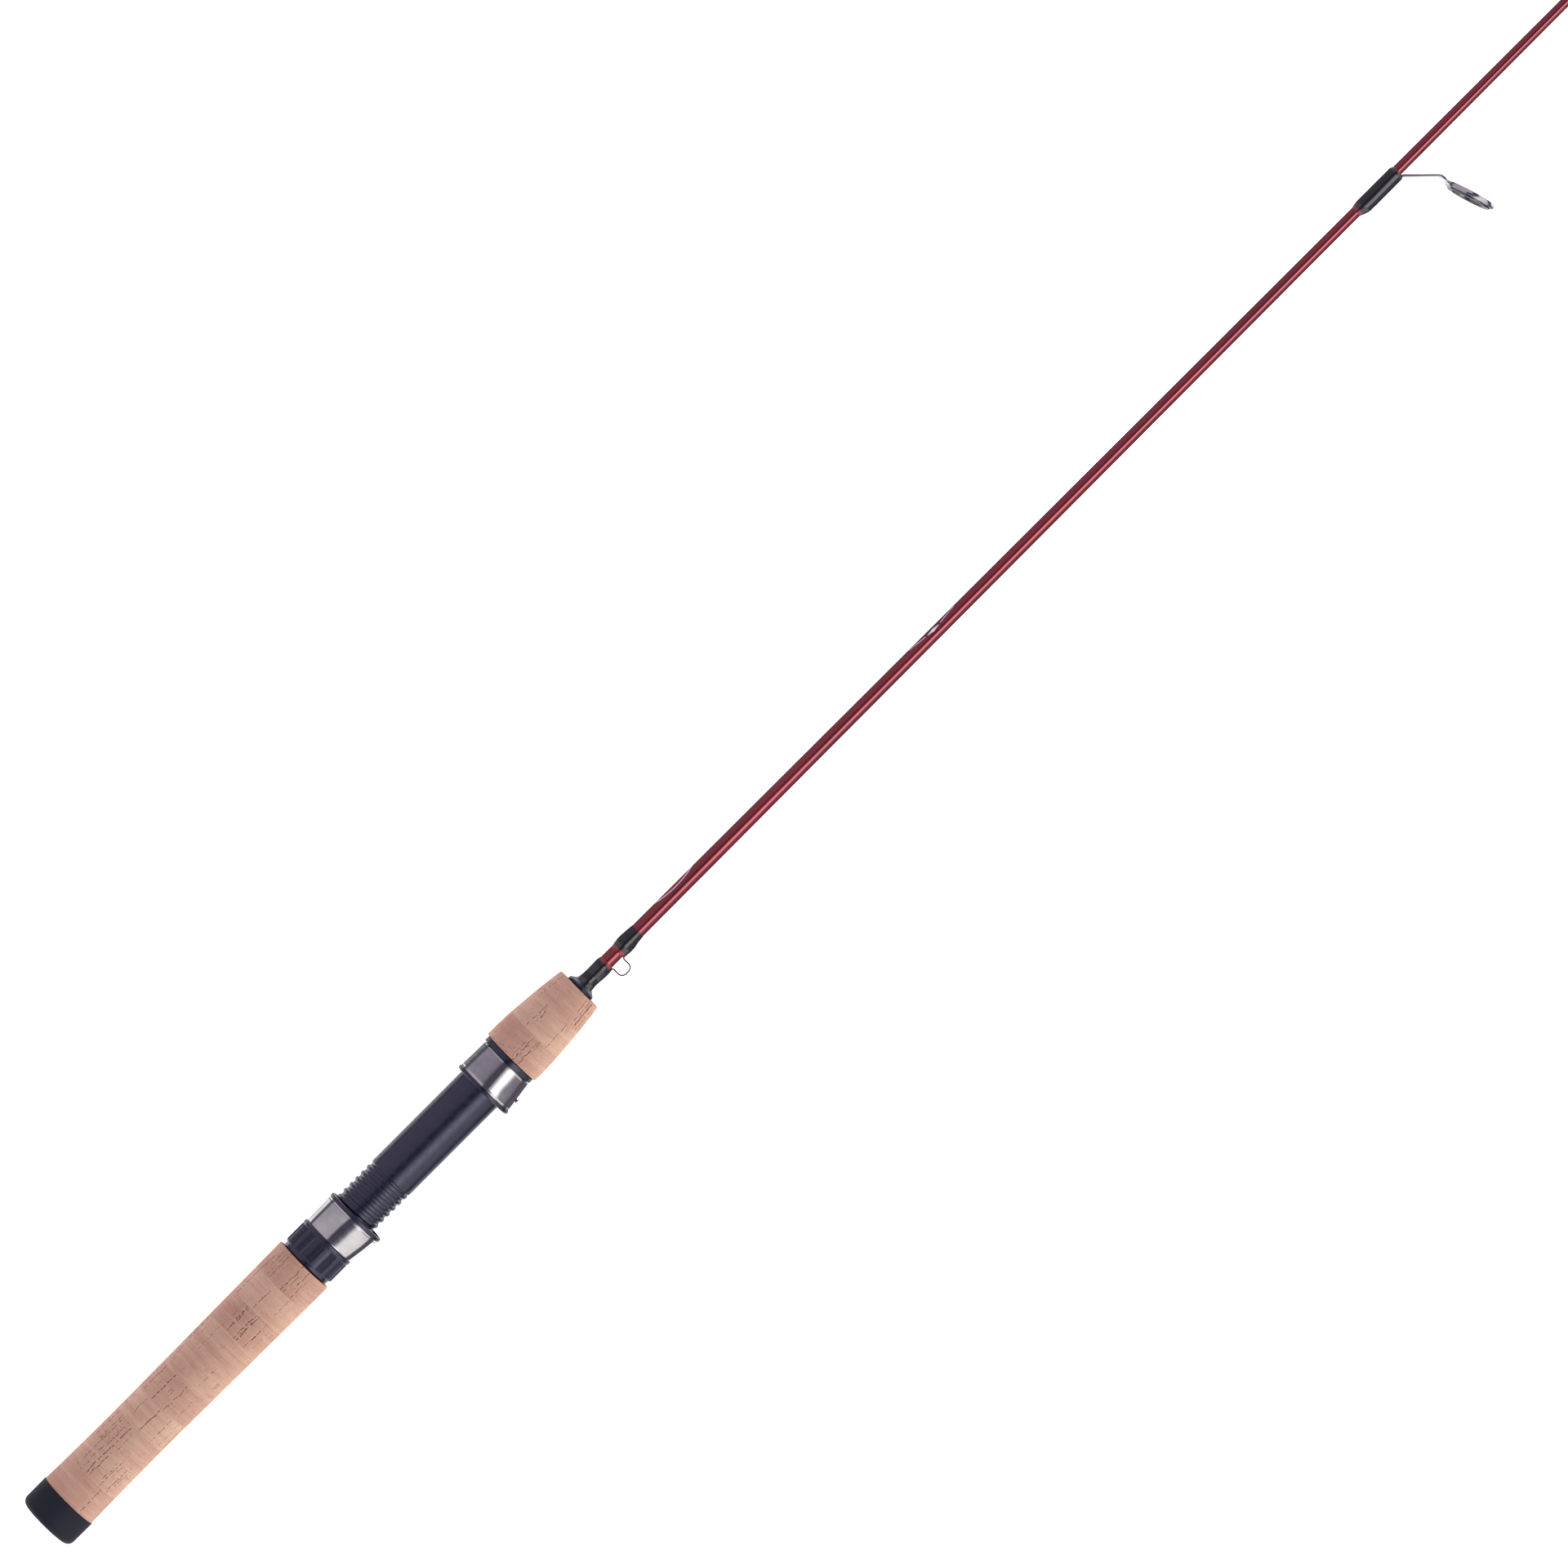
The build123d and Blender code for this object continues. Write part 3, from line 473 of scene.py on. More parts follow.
looks = {
    "cork": cork_material(),
    "arbor": hidden_cork_material(),
    "blank_red": blank_material(),
    "black_rubber": rubber_material(),
    "wrap_black": wrap_material(),
    "seat_nylon": nylon_material("seat_nylon", 0.62),
    "hood_steel": steel_material("hood_steel", (0.40, 0.39, 0.395), 0.06, (700, 60, 60), 150),
    "guide_steel": steel_material("guide_steel", (0.36, 0.345, 0.385), 0.07, (60, 700, 700), 300),
    "guide_insert": insert_material(),
    "wire_steel": steel_material("wire_steel", (0.115, 0.10, 0.105), 0.2, (700, 700, 700), 500),
    "check_black": nylon_material("check_black", 0.36),
}
slot_of = {row["node"]: row["material_slot"] for row in record["subparts"]}
body_of_node = {node: body for body, nodes in record["behaviour"]["bodies"].items() for node in nodes}


# ---- mesh tools
def node_points(node):
    """A CAD node's vertices as an array, in metres."""
    vertices = frame["nodes"][node].data.vertices
    points = np.empty(len(vertices) * 3)
    vertices.foreach_get("co", points)
    return points.reshape(-1, 3)


def outline_of(node):
    """Stations along the rod and the node's greatest radius at each, from its CAD mesh."""
    points = node_points(node)
    stations = np.round(points[:, 0], 6)
    radii = np.hypot(points[:, 1], points[:, 2])
    places = np.unique(stations)
    greatest = np.array([radii[stations == place].max() for place in places])
    return places, greatest


class Shape:
    """Points, quads and triangles of one closed surface."""

    def __init__(self, points, quads, triangles=None):
        self.points = np.asarray(points, dtype=float)
        self.quads = np.asarray(quads, dtype=int).reshape(-1, 4)
        self.triangles = np.zeros((0, 3), int) if triangles is None else np.asarray(triangles, dtype=int)

    def facing_out(self):
        """The same surface, turned over if its faces look inwards."""
        p, q, t = self.points, self.quads, self.triangles
        halves = np.concatenate([q[:, [0, 1, 2]], q[:, [0, 2, 3]], t])
        volume = np.einsum("ij,ij->i", p[halves[:, 0]], np.cross(p[halves[:, 1]], p[halves[:, 2]])).sum()
        return Shape(p, q[:, ::-1], t[:, ::-1]) if volume < 0 else self


def joined(*shapes):
    """Several shapes as one."""
    offsets = np.cumsum([0] + [len(shape.points) for shape in shapes])
    return Shape(
        np.concatenate([shape.points for shape in shapes]),
        np.concatenate([shape.quads + start for shape, start in zip(shapes, offsets)]),
        np.concatenate([shape.triangles + start for shape, start in zip(shapes, offsets)]),
    )


def new_piece(name, shape, node, attributes=None):
    """A smooth mesh object that replaces a CAD node, rides on its body and has its material."""
    mesh = bpy.data.meshes.new(name)
    corners = np.concatenate([shape.quads.ravel(), shape.triangles.ravel()])
    sizes = np.concatenate([np.full(len(shape.quads), 4), np.full(len(shape.triangles), 3)])
    mesh.vertices.add(len(shape.points))
    mesh.vertices.foreach_set("co", shape.points.ravel())
    mesh.loops.add(len(corners))
    mesh.loops.foreach_set("vertex_index", corners)
    mesh.polygons.add(len(sizes))
    mesh.polygons.foreach_set("loop_start", np.cumsum(sizes) - sizes)
    mesh.update(calc_edges=True)
    for key, values in (attributes or {}).items():
        layer = mesh.attributes.new(key, "FLOAT", "POINT")
        layer.data.foreach_set("value", np.asarray(values, dtype=np.float32))
    mesh.shade_smooth()
    mesh.materials.append(looks[slot_of[node]])
    piece = added(name, mesh)
    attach(piece, body_of_node[node])
    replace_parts(piece, node)
    return piece


def ring_faces(count, sides, closed):
    """Quads over rings of points: closed joins the last ring to the first."""
    rows = np.arange(count if closed else count - 1)
    columns = np.arange(sides)
    i, j = np.meshgrid(rows, columns, indexing="ij")
    next_i = (i + 1) % count
    next_j = (j + 1) % sides
    quads = np.stack([i * sides + j, next_i * sides + j, next_i * sides + next_j, i * sides + next_j], -1)
    return quads.reshape(-1, 4)


def capped(rings, first, last):
    """Rings of points in line, closed by a fan to a point at each end."""
    count, sides = rings.shape[:2]
    j = np.arange(sides)
    k = (j + 1) % sides
    total = count * sides
    end = total - sides
    fans = np.concatenate([
        np.stack([np.full(sides, total), j, k], -1),
        np.stack([np.full(sides, total + 1), end + k, end + j], -1),
    ])
    points = np.concatenate([rings.reshape(-1, 3), [first, last]])
    return Shape(points, ring_faces(count, sides, False), fans).facing_out()


def turned(profile, sides, shape=None, closed=True, centre=None):
    """A piece round the rod's axis.

    profile is a list of (x, radius), closed into a loop or with both its ends on the axis.
    shape(x, radius, angle) returns the radii at every place, centre(x) a section's shift in Y.
    """
    profile = np.array(profile)
    angles = np.arange(sides) * turn / sides
    x = np.repeat(profile[:, :1], sides, axis=1)
    radius = np.repeat(profile[:, 1:], sides, axis=1)
    angle = np.repeat(angles[None, :], len(profile), axis=0)
    if shape is not None:
        radius = shape(x, radius, angle)
    shift = centre(x) if centre is not None else 0.0
    rings = np.stack([x, radius * np.cos(angle) + shift, radius * np.sin(angle)], -1)
    if closed:
        return Shape(rings.reshape(-1, 3), ring_faces(len(profile), sides, True)).facing_out()
    return capped(rings[1:-1], (profile[0, 0], 0, 0), (profile[-1, 0], 0, 0))


def corner_arc(here, before, after, fillet, most, pieces):
    """Points round a corner at here, between the places before and after it.

    most is the share of each side that the arc may use, pieces(length) its number of steps.
    """
    before, after = before - here, after - here
    size_before, size_after = np.linalg.norm(before), np.linalg.norm(after)
    before, after = before / size_before, after / size_after
    half = math.acos(max(-1.0, min(1.0, float(before @ after)))) / 2
    reach = min(fillet / math.tan(half), most * size_before, most * size_after)
    radius = reach * math.tan(half)
    middle = here + (before + after) / np.linalg.norm(before + after) * radius / math.sin(half)
    start, finish = here + before * reach - middle, here + after * reach - middle
    sweep = math.pi - 2 * half
    count = pieces(sweep * radius)
    points = []
    for n in range(count + 1):
        share = n / count
        mixed = math.sin((1 - share) * sweep) * start + math.sin(share * sweep) * finish
        points.append(middle + mixed / math.sin(sweep))
    return points


def rounded(corners, step, closed=True, arc_points=5):
    """A profile through corners (x, radius, fillet), with arcs at the fillets and points every step."""
    count = len(corners)
    places = [np.array(corner[:2]) for corner in corners]
    smooth = []
    for k, (*_, fillet) in enumerate(corners):
        at_end = not closed and k in (0, count - 1)
        if fillet <= 0 or at_end:
            smooth.append(places[k])
            continue
        neighbours = places[k - 1], places[(k + 1) % count]
        smooth += corner_arc(places[k], *neighbours, fillet, 0.48, lambda length: arc_points)
    dense = []
    limit = len(smooth) if closed else len(smooth) - 1
    for k in range(limit):
        a, b = smooth[k], smooth[(k + 1) % len(smooth)]
        pieces = max(1, math.ceil(float(np.linalg.norm(b - a)) / step - 1e-6))
        dense += [tuple(a + (b - a) * n / pieces) for n in range(pieces)]
    if not closed:
        dense.append(tuple(smooth[-1]))
    return dense


def band(start, end, inner, outer, inner_fillet, outer_fillet):
    """Corners of a plain ring's section, for rounded."""
    inside = [(start, inner, inner_fillet), (end, inner, inner_fillet)]
    return inside + [(end, outer, outer_fillet), (start, outer, outer_fillet)]


def swept(path, sections):
    """A bar along a path.

    path is an (n, 3) array, sections an (n, sides, 2) array of offsets along the two cross directions.
    """
    path = np.asarray(path, dtype=float)
    sections = np.asarray(sections, dtype=float)
    ahead = np.gradient(path, axis=0)
    ahead /= np.linalg.norm(ahead, axis=1)[:, None]
    side = np.cross(ahead[0], (0, 0, 1.0))
    rings = []
    for place, direction, section in zip(path, ahead, sections):
        side = side - direction * np.dot(side, direction)
        side /= np.linalg.norm(side)
        up = np.cross(side, direction)
        rings.append(place + section[:, :1] * side + section[:, 1:] * up)
    rings = np.array(rings)
    return capped(rings, rings[0].mean(0), rings[-1].mean(0))


def smooth_step(value, low, high):
    """0 below low, 1 above high, smooth between."""
    share = np.clip((value - low) / (high - low), 0, 1)
    return share * share * (3 - 2 * share)


def bell(value, width):
    """1 where value is 0, falling away smoothly on both sides."""
    return np.exp(-((value / width) ** 2))


def angle_gap(angle, centre):
    """Signed difference of two angles, between minus and plus half a turn."""
    return (angle - centre + math.pi) % turn - math.pi


def soft_noise(x, angle, radius, scale, generator, waves=14):
    """Smooth unevenness over a turned surface: a sum of waves, repeatable for a generator."""
    total = np.zeros_like(x)
    for _ in range(waves):
        around = generator.integers(0, max(2, int(turn * radius / scale)))
        along = generator.uniform(-1, 1) * turn / scale
        phase = generator.uniform(0, turn)
        total += np.cos(around * angle + along * x + phase)
    return total / math.sqrt(waves)


# ---- cork grips
def cork_flaws(x_low, x_high, speckled, generator):
    """Streaks, knots and pits of a ring: kind, x from, x to, angle, half width and strength of each."""
    draw = generator.uniform
    flaws = []
    length = x_high - x_low
    cluster = draw(0, turn)
    for _ in range(generator.integers(9, 20)):
        reach = length if generator.random() < 0.5 else draw(0.3, 0.8) * length
        start = x_low + draw(0, length - reach + 1e-9)
        spread = generator.normal(0, 0.35) if generator.random() < 0.35 else None
        place = draw(0, turn) if spread is None else cluster + spread
        flaws.append(("streak", start, start + reach, place, draw(0.11, 0.21) * mm, draw(0.5, 1.0)))
    for _ in range(generator.integers(2, 6)):
        place = draw(x_low + 1.5 * mm, x_high - 1.5 * mm)
        half = draw(0.7, 1.9) * mm
        angle = draw(0, turn)
        flaws.append(("knot", place - half, place + half, angle, draw(0.25, 0.5) * mm, draw(0.6, 1.0)))

    def add_pit(place, smallest, weakest, strongest):
        size = draw(smallest, 0.3) * mm
        angle = draw(0, turn)
        flaws.append(("pit", place - size, place + size, angle, size, draw(weakest, strongest)))

    for _ in range(generator.integers(5, 14)):
        add_pit(draw(x_low, x_high), 0.12, 0.35, 0.8)
    for _ in range(30 if speckled else 0):
        add_pit(x_low + abs(generator.normal(0, 0.7)) * mm, 0.13, 0.4, 0.9)
    return flaws


def line_noise(x, scale, generator, waves=8):
    """Smooth unevenness along x only."""
    total = np.zeros_like(x)
    for _ in range(waves):
        total += np.cos(x * turn / scale * generator.uniform(0.4, 1.6) + generator.uniform(0, turn))
    return total / math.sqrt(waves)


def carve_cork(flaws, x, radius, angle, generator):
    """How deep each place of a ring's surface is eaten away, and how pale it is, from 0 to 1."""
    depth = np.zeros_like(x)
    pale = np.zeros_like(x)
    station = x[:, :1]
    fade = 0.15 * mm
    for kind, start, end, place, width, strength in flaws:
        middle = (start + end) / 2
        wander = line_noise(station, 7 * mm, generator, 5) * 0.014
        across = angle_gap(angle, place + wander) * radius
        if kind == "pit":
            cut = np.exp(-((across / width) ** 2 + ((x - middle) / width) ** 2))
            depth = np.maximum(depth, cut * strength)
            continue
        inside = smooth_step(station, start - fade, start + fade)
        inside = inside * (1 - smooth_step(station, end - fade, end + fade))
        swell = width * (1 + 0.45 * line_noise(station, 1.6 * mm, generator, 6))
        if kind == "knot":
            bulge = np.sqrt(np.clip(1 - ((station - middle) / (end - start) * 2) ** 2, 0, 1))
            rough = 0.5 + 0.5 * line_noise(station, 0.9 * mm, generator, 6)
            edge = np.abs(np.abs(across) - bulge * width * 1.3)
            cut = bell(edge, 0.14 * mm) * inside * np.clip(rough + 0.3, 0, 1)
        else:
            broken = line_noise(station, 2.6 * mm, generator, 7)
            patchy = smooth_step(broken, -0.85, -0.5)
            cut = bell(across, np.maximum(swell, 0.06 * mm)) * patchy * inside
        depth = np.maximum(depth, cut * strength)
        pale = np.maximum(pale, bell(across, 3.2 * width) * inside * strength)
    return depth, pale


def cork_ring(node, number, sides=420, step=0.22 * mm):
    """A cork ring whose lenticels and pits are cut into the surface."""
    generator = np.random.default_rng(seed + number)
    stations, radii = outline_of(node)
    low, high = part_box(node)
    x_high = high[0]
    x_low = max(low[0], 13 * mm)
    bore = 3.3 * mm
    spigot_radius = 9.5 * mm
    edge = 0.03 * mm
    skin_depth, flaw_depth, uneven_depth = 0.01 * mm, 0.17 * mm, 0.012 * mm
    keep = (stations >= x_low - 1e-6) & (radii > spigot_radius + 0.2 * mm)
    count = int((x_high - x_low) / step)
    outer_x = np.concatenate([[x_low], np.linspace(x_low + edge, x_high - edge, count), [x_high]])
    outer_r = np.interp(outer_x, stations[keep], radii[keep])
    face_r = outer_r[0] - edge
    profile = [(x, r) for x, r in zip(outer_x[::-1], outer_r[::-1])] + [(x_low, face_r)]
    if x_low > low[0] + 1 * mm:
        profile += [(x_low, spigot_radius), (low[0], spigot_radius), (low[0], bore)]
    else:
        profile += [(x_low, bore)]
    profile += [(x_high, bore), (x_high, outer_r[-1] - edge)]
    surface = len(outer_x)
    flaws = cork_flaws(x_low, x_high, number == 0, generator)
    pit = np.zeros((len(profile), sides))
    pale = np.zeros((len(profile), sides))

    def carve(x, radius, angle):
        skin_x, skin_angle, skin_radius = x[:surface], angle[:surface], radius[:surface]
        uneven = soft_noise(skin_x, skin_angle, 12 * mm, 6 * mm, generator) * uneven_depth
        depth, light = carve_cork(flaws, skin_x, skin_radius, skin_angle, generator)
        pit[:surface] = depth
        pale[:surface] = light
        carved = radius.copy()
        carved[:surface] = skin_radius - skin_depth + np.minimum(uneven, 0) - depth * flaw_depth
        return carved

    ring = turned(profile, sides, carve)
    tone = np.full(len(ring.points), generator.uniform(0, 1))
    attributes = {"pit": pit.ravel(), "pale": pale.ravel(), "tone": tone}
    return new_piece(f"{node}_turned", ring, node, attributes)


cork_nodes = sorted(node for node in frame["nodes"] if "cork_ring" in node)
for ring_number, cork_node in enumerate(cork_nodes):
    cork_ring(cork_node, ring_number)


# ---- butt cap
def butt_cap():
    """Rubber cap: slightly domed face, round corner, thin lip against the cork."""
    low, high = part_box("butt_cap")
    radius, length = high[1], high[0]
    dome, socket_radius, socket_floor = 0.6 * mm, 9.6 * mm, 4.6 * mm
    corners = [
        (0.0, 0.0, 0),
        (0.0, 0.55 * radius, 1.5 * mm),
        (dome, radius - 0.05 * mm, 2.9 * mm),
        (length, radius, 0.25 * mm),
        (length, socket_radius, 0),
        (socket_floor, socket_radius, 0),
        (socket_floor, 0.0, 0),
    ]
    profile = rounded(corners, 0.5 * mm, closed=False, arc_points=12)
    return new_piece("butt_cap_moulded", turned(profile, 144, closed=False), "butt_cap")


butt_cap()


# ---- reel seat
thread_pitch = 3.1 * mm
thread_end = 185.8 * mm


def barrel():
    """Seat barrel: right-hand thread behind, smooth barrel in front, keyway underneath."""
    low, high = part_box("seat_barrel")
    crest = high[1]
    root = crest - 0.6 * mm
    key_floor = crest - 0.9 * mm
    key_half = 1.2 * mm
    keyway_end = 200 * mm
    fine = np.arange(low[0], thread_end + 0.6 * mm, 0.17 * mm)
    plain = np.linspace(thread_end + 0.8 * mm, high[0], 60)
    outer = np.concatenate([fine, plain])
    bore = 8 * mm
    profile = [(x, crest) for x in outer[::-1]] + [(low[0], bore), (high[0], bore)]
    surface = len(outer)

    def shape(x, radius, angle):
        radius = radius.copy()
        skin_x, skin_angle = x[:surface], angle[:surface]
        phase = (skin_x - low[0]) / thread_pitch - skin_angle / turn
        from_crest = np.abs(phase - np.round(phase)) * thread_pitch
        ridge = 1 - smooth_step(from_crest, 0.6 * mm, 0.98 * mm)
        solid = smooth_step(skin_x, thread_end - 0.1 * mm, thread_end + 0.25 * mm)
        height = root + (crest - root) * np.maximum(ridge, solid)
        sine = np.sin(skin_angle)
        keyed = (sine < -0.5) & (np.abs(crest * np.cos(skin_angle)) < key_half) & (skin_x < keyway_end)
        floor_radius = key_floor / np.maximum(-sine, 0.5)
        radius[:surface] = np.where(keyed, np.minimum(height, floor_radius), height)
        return radius

    return new_piece("seat_barrel_moulded", turned(profile, 160, shape), "seat_barrel")


barrel()


def locking_nut():
    """Nut with twelve groups of five ribs between a collar and a flange."""
    low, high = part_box("locking_nut")
    start, end = low[0], high[0]
    flange = high[1]
    collar, valley, rib = flange - 0.9 * mm, flange - 0.55 * mm, flange - 0.15 * mm
    knurl_start, knurl_end = start + 1.6 * mm, end - 1.5 * mm
    bore = 9.3 * mm
    corners = [
        (start, bore, 0.2 * mm),
        (end, bore, 0.2 * mm),
        (end, flange, 0.3 * mm),
        (knurl_end, flange, 0.2 * mm),
        (knurl_end, valley, 0.05 * mm),
        (knurl_start, valley, 0.05 * mm),
        (knurl_start, collar, 0.1 * mm),
        (start, collar, 0.45 * mm),
    ]
    profile = rounded(corners, 0.35 * mm)
    groups, ribs, rib_step = 12, 5, math.radians(3.6)

    def shape(x, radius, angle):
        within = angle_gap(angle * groups, 0) / groups
        nearest = np.clip(np.round(within / rib_step), -(ribs // 2), ribs // 2)
        across = np.abs(within - nearest * rib_step) * valley
        height = 1 - smooth_step(across, 0.12 * mm, 0.29 * mm)
        ends = smooth_step(x, knurl_start + 0.05 * mm, knurl_start + 0.6 * mm)
        ends *= 1 - smooth_step(x, knurl_end - 0.5 * mm, knurl_end - 0.15 * mm)
        knurled = (radius > valley - 0.02 * mm) & (radius < valley + 0.02 * mm)
        return np.where(knurled, radius + height * ends * (rib - valley), radius)

    return new_piece("locking_nut_knurled", turned(profile, 840, shape), "locking_nut")


locking_nut()


def section_at(node, x):
    """Centre shift and the two half sizes of a node's oval section at an end station."""
    points = node_points(node)
    near = points[np.abs(points[:, 0] - x) < 0.05 * mm]
    low_y, high_y = near[:, 1].min(), near[:, 1].max()
    return (low_y + high_y) / 2, (high_y - low_y) / 2, near[:, 2].max()


def hood_shell(node, mouth_at_high_end):
    """Pressed steel hood: an oval sleeve with a rolled lip at the mouth and a small one behind."""
    low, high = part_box(node)
    rear, front = section_at(node, low[0]), section_at(node, high[0])
    wall = 0.5 * mm
    profile = rounded(band(low[0], high[0], -wall, 0.0, 0.2 * mm, 0.22 * mm), 0.16 * mm)
    length = high[0] - low[0]
    mouth = high[0] if mouth_at_high_end else low[0]
    heel = low[0] if mouth_at_high_end else high[0]
    generator = np.random.default_rng(seed + 500 + int(mouth_at_high_end))

    def between(x, index):
        share = (x - low[0]) / length
        return rear[index] + (front[index] - rear[index]) * share

    lip_place, lip_width, lip_depth = 0.72 * mm, 0.16 * mm, 0.09 * mm
    heel_place, heel_width, heel_depth = 0.5 * mm, 0.15 * mm, 0.05 * mm
    press_angle, press_spread, press_depth = math.radians(128), 0.2, 0.12 * mm
    press_place, press_length = 5 * mm, 3 * mm
    most_dent, dent_depth, inset_all = 1.6, 0.045 * mm, 0.05 * mm

    def shape(x, inset, angle):
        half_y, half_z = between(x, 1), between(x, 2)
        oval = half_y * half_z / np.hypot(half_z * np.cos(angle), half_y * np.sin(angle))
        from_mouth = np.abs(x - mouth)
        groove = lip_depth * bell(from_mouth - lip_place, lip_width)
        heel_groove = heel_depth * bell(np.abs(x - heel) - heel_place, heel_width)
        uneven = soft_noise(x, angle, 13 * mm, 17 * mm, generator, 6)
        dents = dent_depth * (np.clip(uneven, -most_dent, most_dent) - most_dent)
        press = bell(angle - press_angle, press_spread) * bell(from_mouth - press_place, press_length)
        return oval + inset - inset_all - groove - heel_groove + dents - press_depth * press

    shell = turned(profile, 300, shape, centre=lambda x: between(x, 0))
    return new_piece(f"{node}_pressed", shell, node)


def cut_slot(piece, x, length, width):
    """Cut a round-ended slot through the -Y side of a shell."""
    half, end = width / 2, (length - width) / 2
    quarter = np.linspace(-math.pi / 2, math.pi / 2, 13)
    outline = [(x + end + half * math.cos(a), half * math.sin(a)) for a in quarter]
    outline += [(x - end - half * math.cos(a), -half * math.sin(a)) for a in quarter]
    rings = np.array([[(u, y, v) for u, v in outline] for y in (-20 * mm, -9 * mm)])
    cutter_shape = capped(rings, rings[0].mean(0), rings[1].mean(0))
    mesh = bpy.data.meshes.new("slot_cutter")
    faces = cutter_shape.quads.tolist() + cutter_shape.triangles.tolist()
    mesh.from_pydata(cutter_shape.points.tolist(), [], faces)
    cutter = added("slot_cutter", mesh)
    cut = piece.modifiers.new("slot", "BOOLEAN")
    cut.operation = "DIFFERENCE"
    cut.solver = "EXACT"
    cut.object = cutter
    bpy.context.view_layer.update()
    depsgraph = bpy.context.evaluated_depsgraph_get()
    finished = bpy.data.meshes.new_from_object(piece.evaluated_get(depsgraph))
    piece.modifiers.clear()
    piece.data = finished
    bpy.data.objects.remove(cutter)


sliding_shell = hood_shell("sliding_hood_shell", True)
slot_middle, slot_length, slot_width = 161 * mm, 2.6 * mm, 1.3 * mm
cut_slot(sliding_shell, slot_middle, slot_length, slot_width)
hood_shell("fixed_hood_shell", False)


# ---- winding check and blank
def winding_check():
    """Thin disc against the cork with a cone that runs down to the wrap."""
    low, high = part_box("winding_check")
    radius, bore, tip = high[1], 3.1 * mm, 4.3 * mm
    corners = [
        (low[0], bore, 0),
        (high[0], bore, 0),
        (high[0], tip, 0.1 * mm),
        (low[0] + 1.35 * mm, radius - 0.2 * mm, 0.5 * mm),
        (low[0] + 1.0 * mm, radius, 0.25 * mm),
        (low[0], radius, 0.2 * mm),
    ]
    return new_piece("winding_check_turned", turned(rounded(corners, 0.2 * mm), 128), "winding_check")


winding_check()
blank_stations = np.array([4.5, 290, 436, 808, 1216]) * mm
blank_radii = np.array([3.15, 3.02, 2.68, 1.98, 0.85]) * mm


def blank_radius(x):
    """The blank's outer radius at x."""
    return np.interp(x, blank_stations, blank_radii)


def blank():
    """Tapered tube with open ends."""
    low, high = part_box("blank")
    stations = np.linspace(low[0], high[0], 360)
    outer = [(x, float(blank_radius(x))) for x in stations[::-1]]
    butt_wall, tip_wall = 0.72 * mm, 0.47 * mm
    walls = np.linspace(butt_wall, tip_wall, len(stations))
    inner = [(x, float(blank_radius(x)) - wall) for x, wall in zip(stations, walls)]
    return new_piece("blank_tube", turned(outer + inner, 64), "blank")


blank()


# ---- thread wraps
def wrap(node, covers, bulges, thread, sides=96):
    """Thread under epoxy.

    covers lists (x, thickness over the blank). bulges lists (x, extra height towards -Y), and their
    half width is an angle. thread is the span of the black thread: beyond it the epoxy is clear.
    """
    generator = np.random.default_rng(seed + 300 + int(covers[0][0] * 1e4))
    start, end = covers[0][0], covers[-1][0]
    stations = np.append(np.arange(start, end, 0.16 * mm), end)
    cover_x, cover_r = np.array(covers).T
    bulge_x, bulge_r, bulge_width = np.array(bulges).T
    reach = 4
    soft = np.exp(-0.5 * (np.arange(-reach, reach + 1) / 2.0) ** 2)
    soft /= soft.sum()

    def eased(places, heights):
        straight = np.interp(stations, places, heights)
        return np.convolve(np.pad(straight, reach, mode="edge"), soft, mode="valid")

    thickness = eased(cover_x, cover_r)
    lift = eased(bulge_x, bulge_r)
    width = np.interp(stations, bulge_x, bulge_width)
    bare = blank_radius(stations)
    profile = list(zip(stations[::-1], (bare + thickness)[::-1])) + list(zip(stations, bare + 0.015 * mm))
    surface = len(stations)

    def shape(x, radius, angle):
        gap = np.abs(angle_gap(angle[:surface], math.pi))
        hump = bell(gap, width[::-1, None])
        wavy = soft_noise(x[:surface], angle[:surface], 3 * mm, 5 * mm, generator, 8) * 0.003 * mm
        cushion = np.clip(thickness[::-1, None] / (0.3 * mm), 0, 1)
        covered = radius.copy()
        covered[:surface] = radius[:surface] + lift[::-1, None] * hump + wavy * cushion
        return covered

    shell = turned(profile, sides, shape)
    x = shell.points[:, 0]
    threaded = ((x > thread[0]) & (x < thread[1])).astype(float)
    return new_piece(f"{node}_wound", shell, node, {"thread": threaded})


def along(origin, *rows):
    """Rows of (place past the origin, height) in millimetres, as metres, with any angle after them."""
    return [(origin + place * mm, height * mm, *angle) for place, height, *angle in rows]


def keeper_wraps():
    """The two wraps over the hook keeper's feet, with clear epoxy beyond the thread."""
    low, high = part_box("keeper_wrap_rear")
    start, end = low[0], high[0]
    covers = along(start, (0, 1.2), (0.7, 0.75), (2.0, 0.42), (4.5, 0.32))
    covers += along(end, (-2.0, 0.44), (-0.6, 0.36), (0.9, 0.03))
    bulges = along(start, (0, 0, 0.5), (3, 0.15, 0.5), (6, 0.42, 0.5))
    bulges += along(end, (0, 0.42, 0.45), (0.6, 0.55, 0.35), (0.9, 0.1, 0.3))
    before_everything = start - 1
    wrap("keeper_wrap_rear", covers, bulges, (before_everything, end))
    low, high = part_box("keeper_wrap_front")
    start, end = low[0], high[0]
    covers = along(start, (-0.9, 0.03), (0.4, 0.3), (2.2, 0.52), (5, 0.5), (8.5, 0.24))
    covers += along(end, (0, 0.04))
    bulges = along(start, (-0.9, 0.1, 0.3), (-0.5, 0.6, 0.35), (1, 0.42, 0.45), (5, 0.36, 0.5), (7.5, 0, 0.5))
    bulges += along(end, (0, 0, 0.5))
    wrap("keeper_wrap_front", covers, bulges, (start + 0.4 * mm, end - 0.3 * mm))


keeper_wraps()


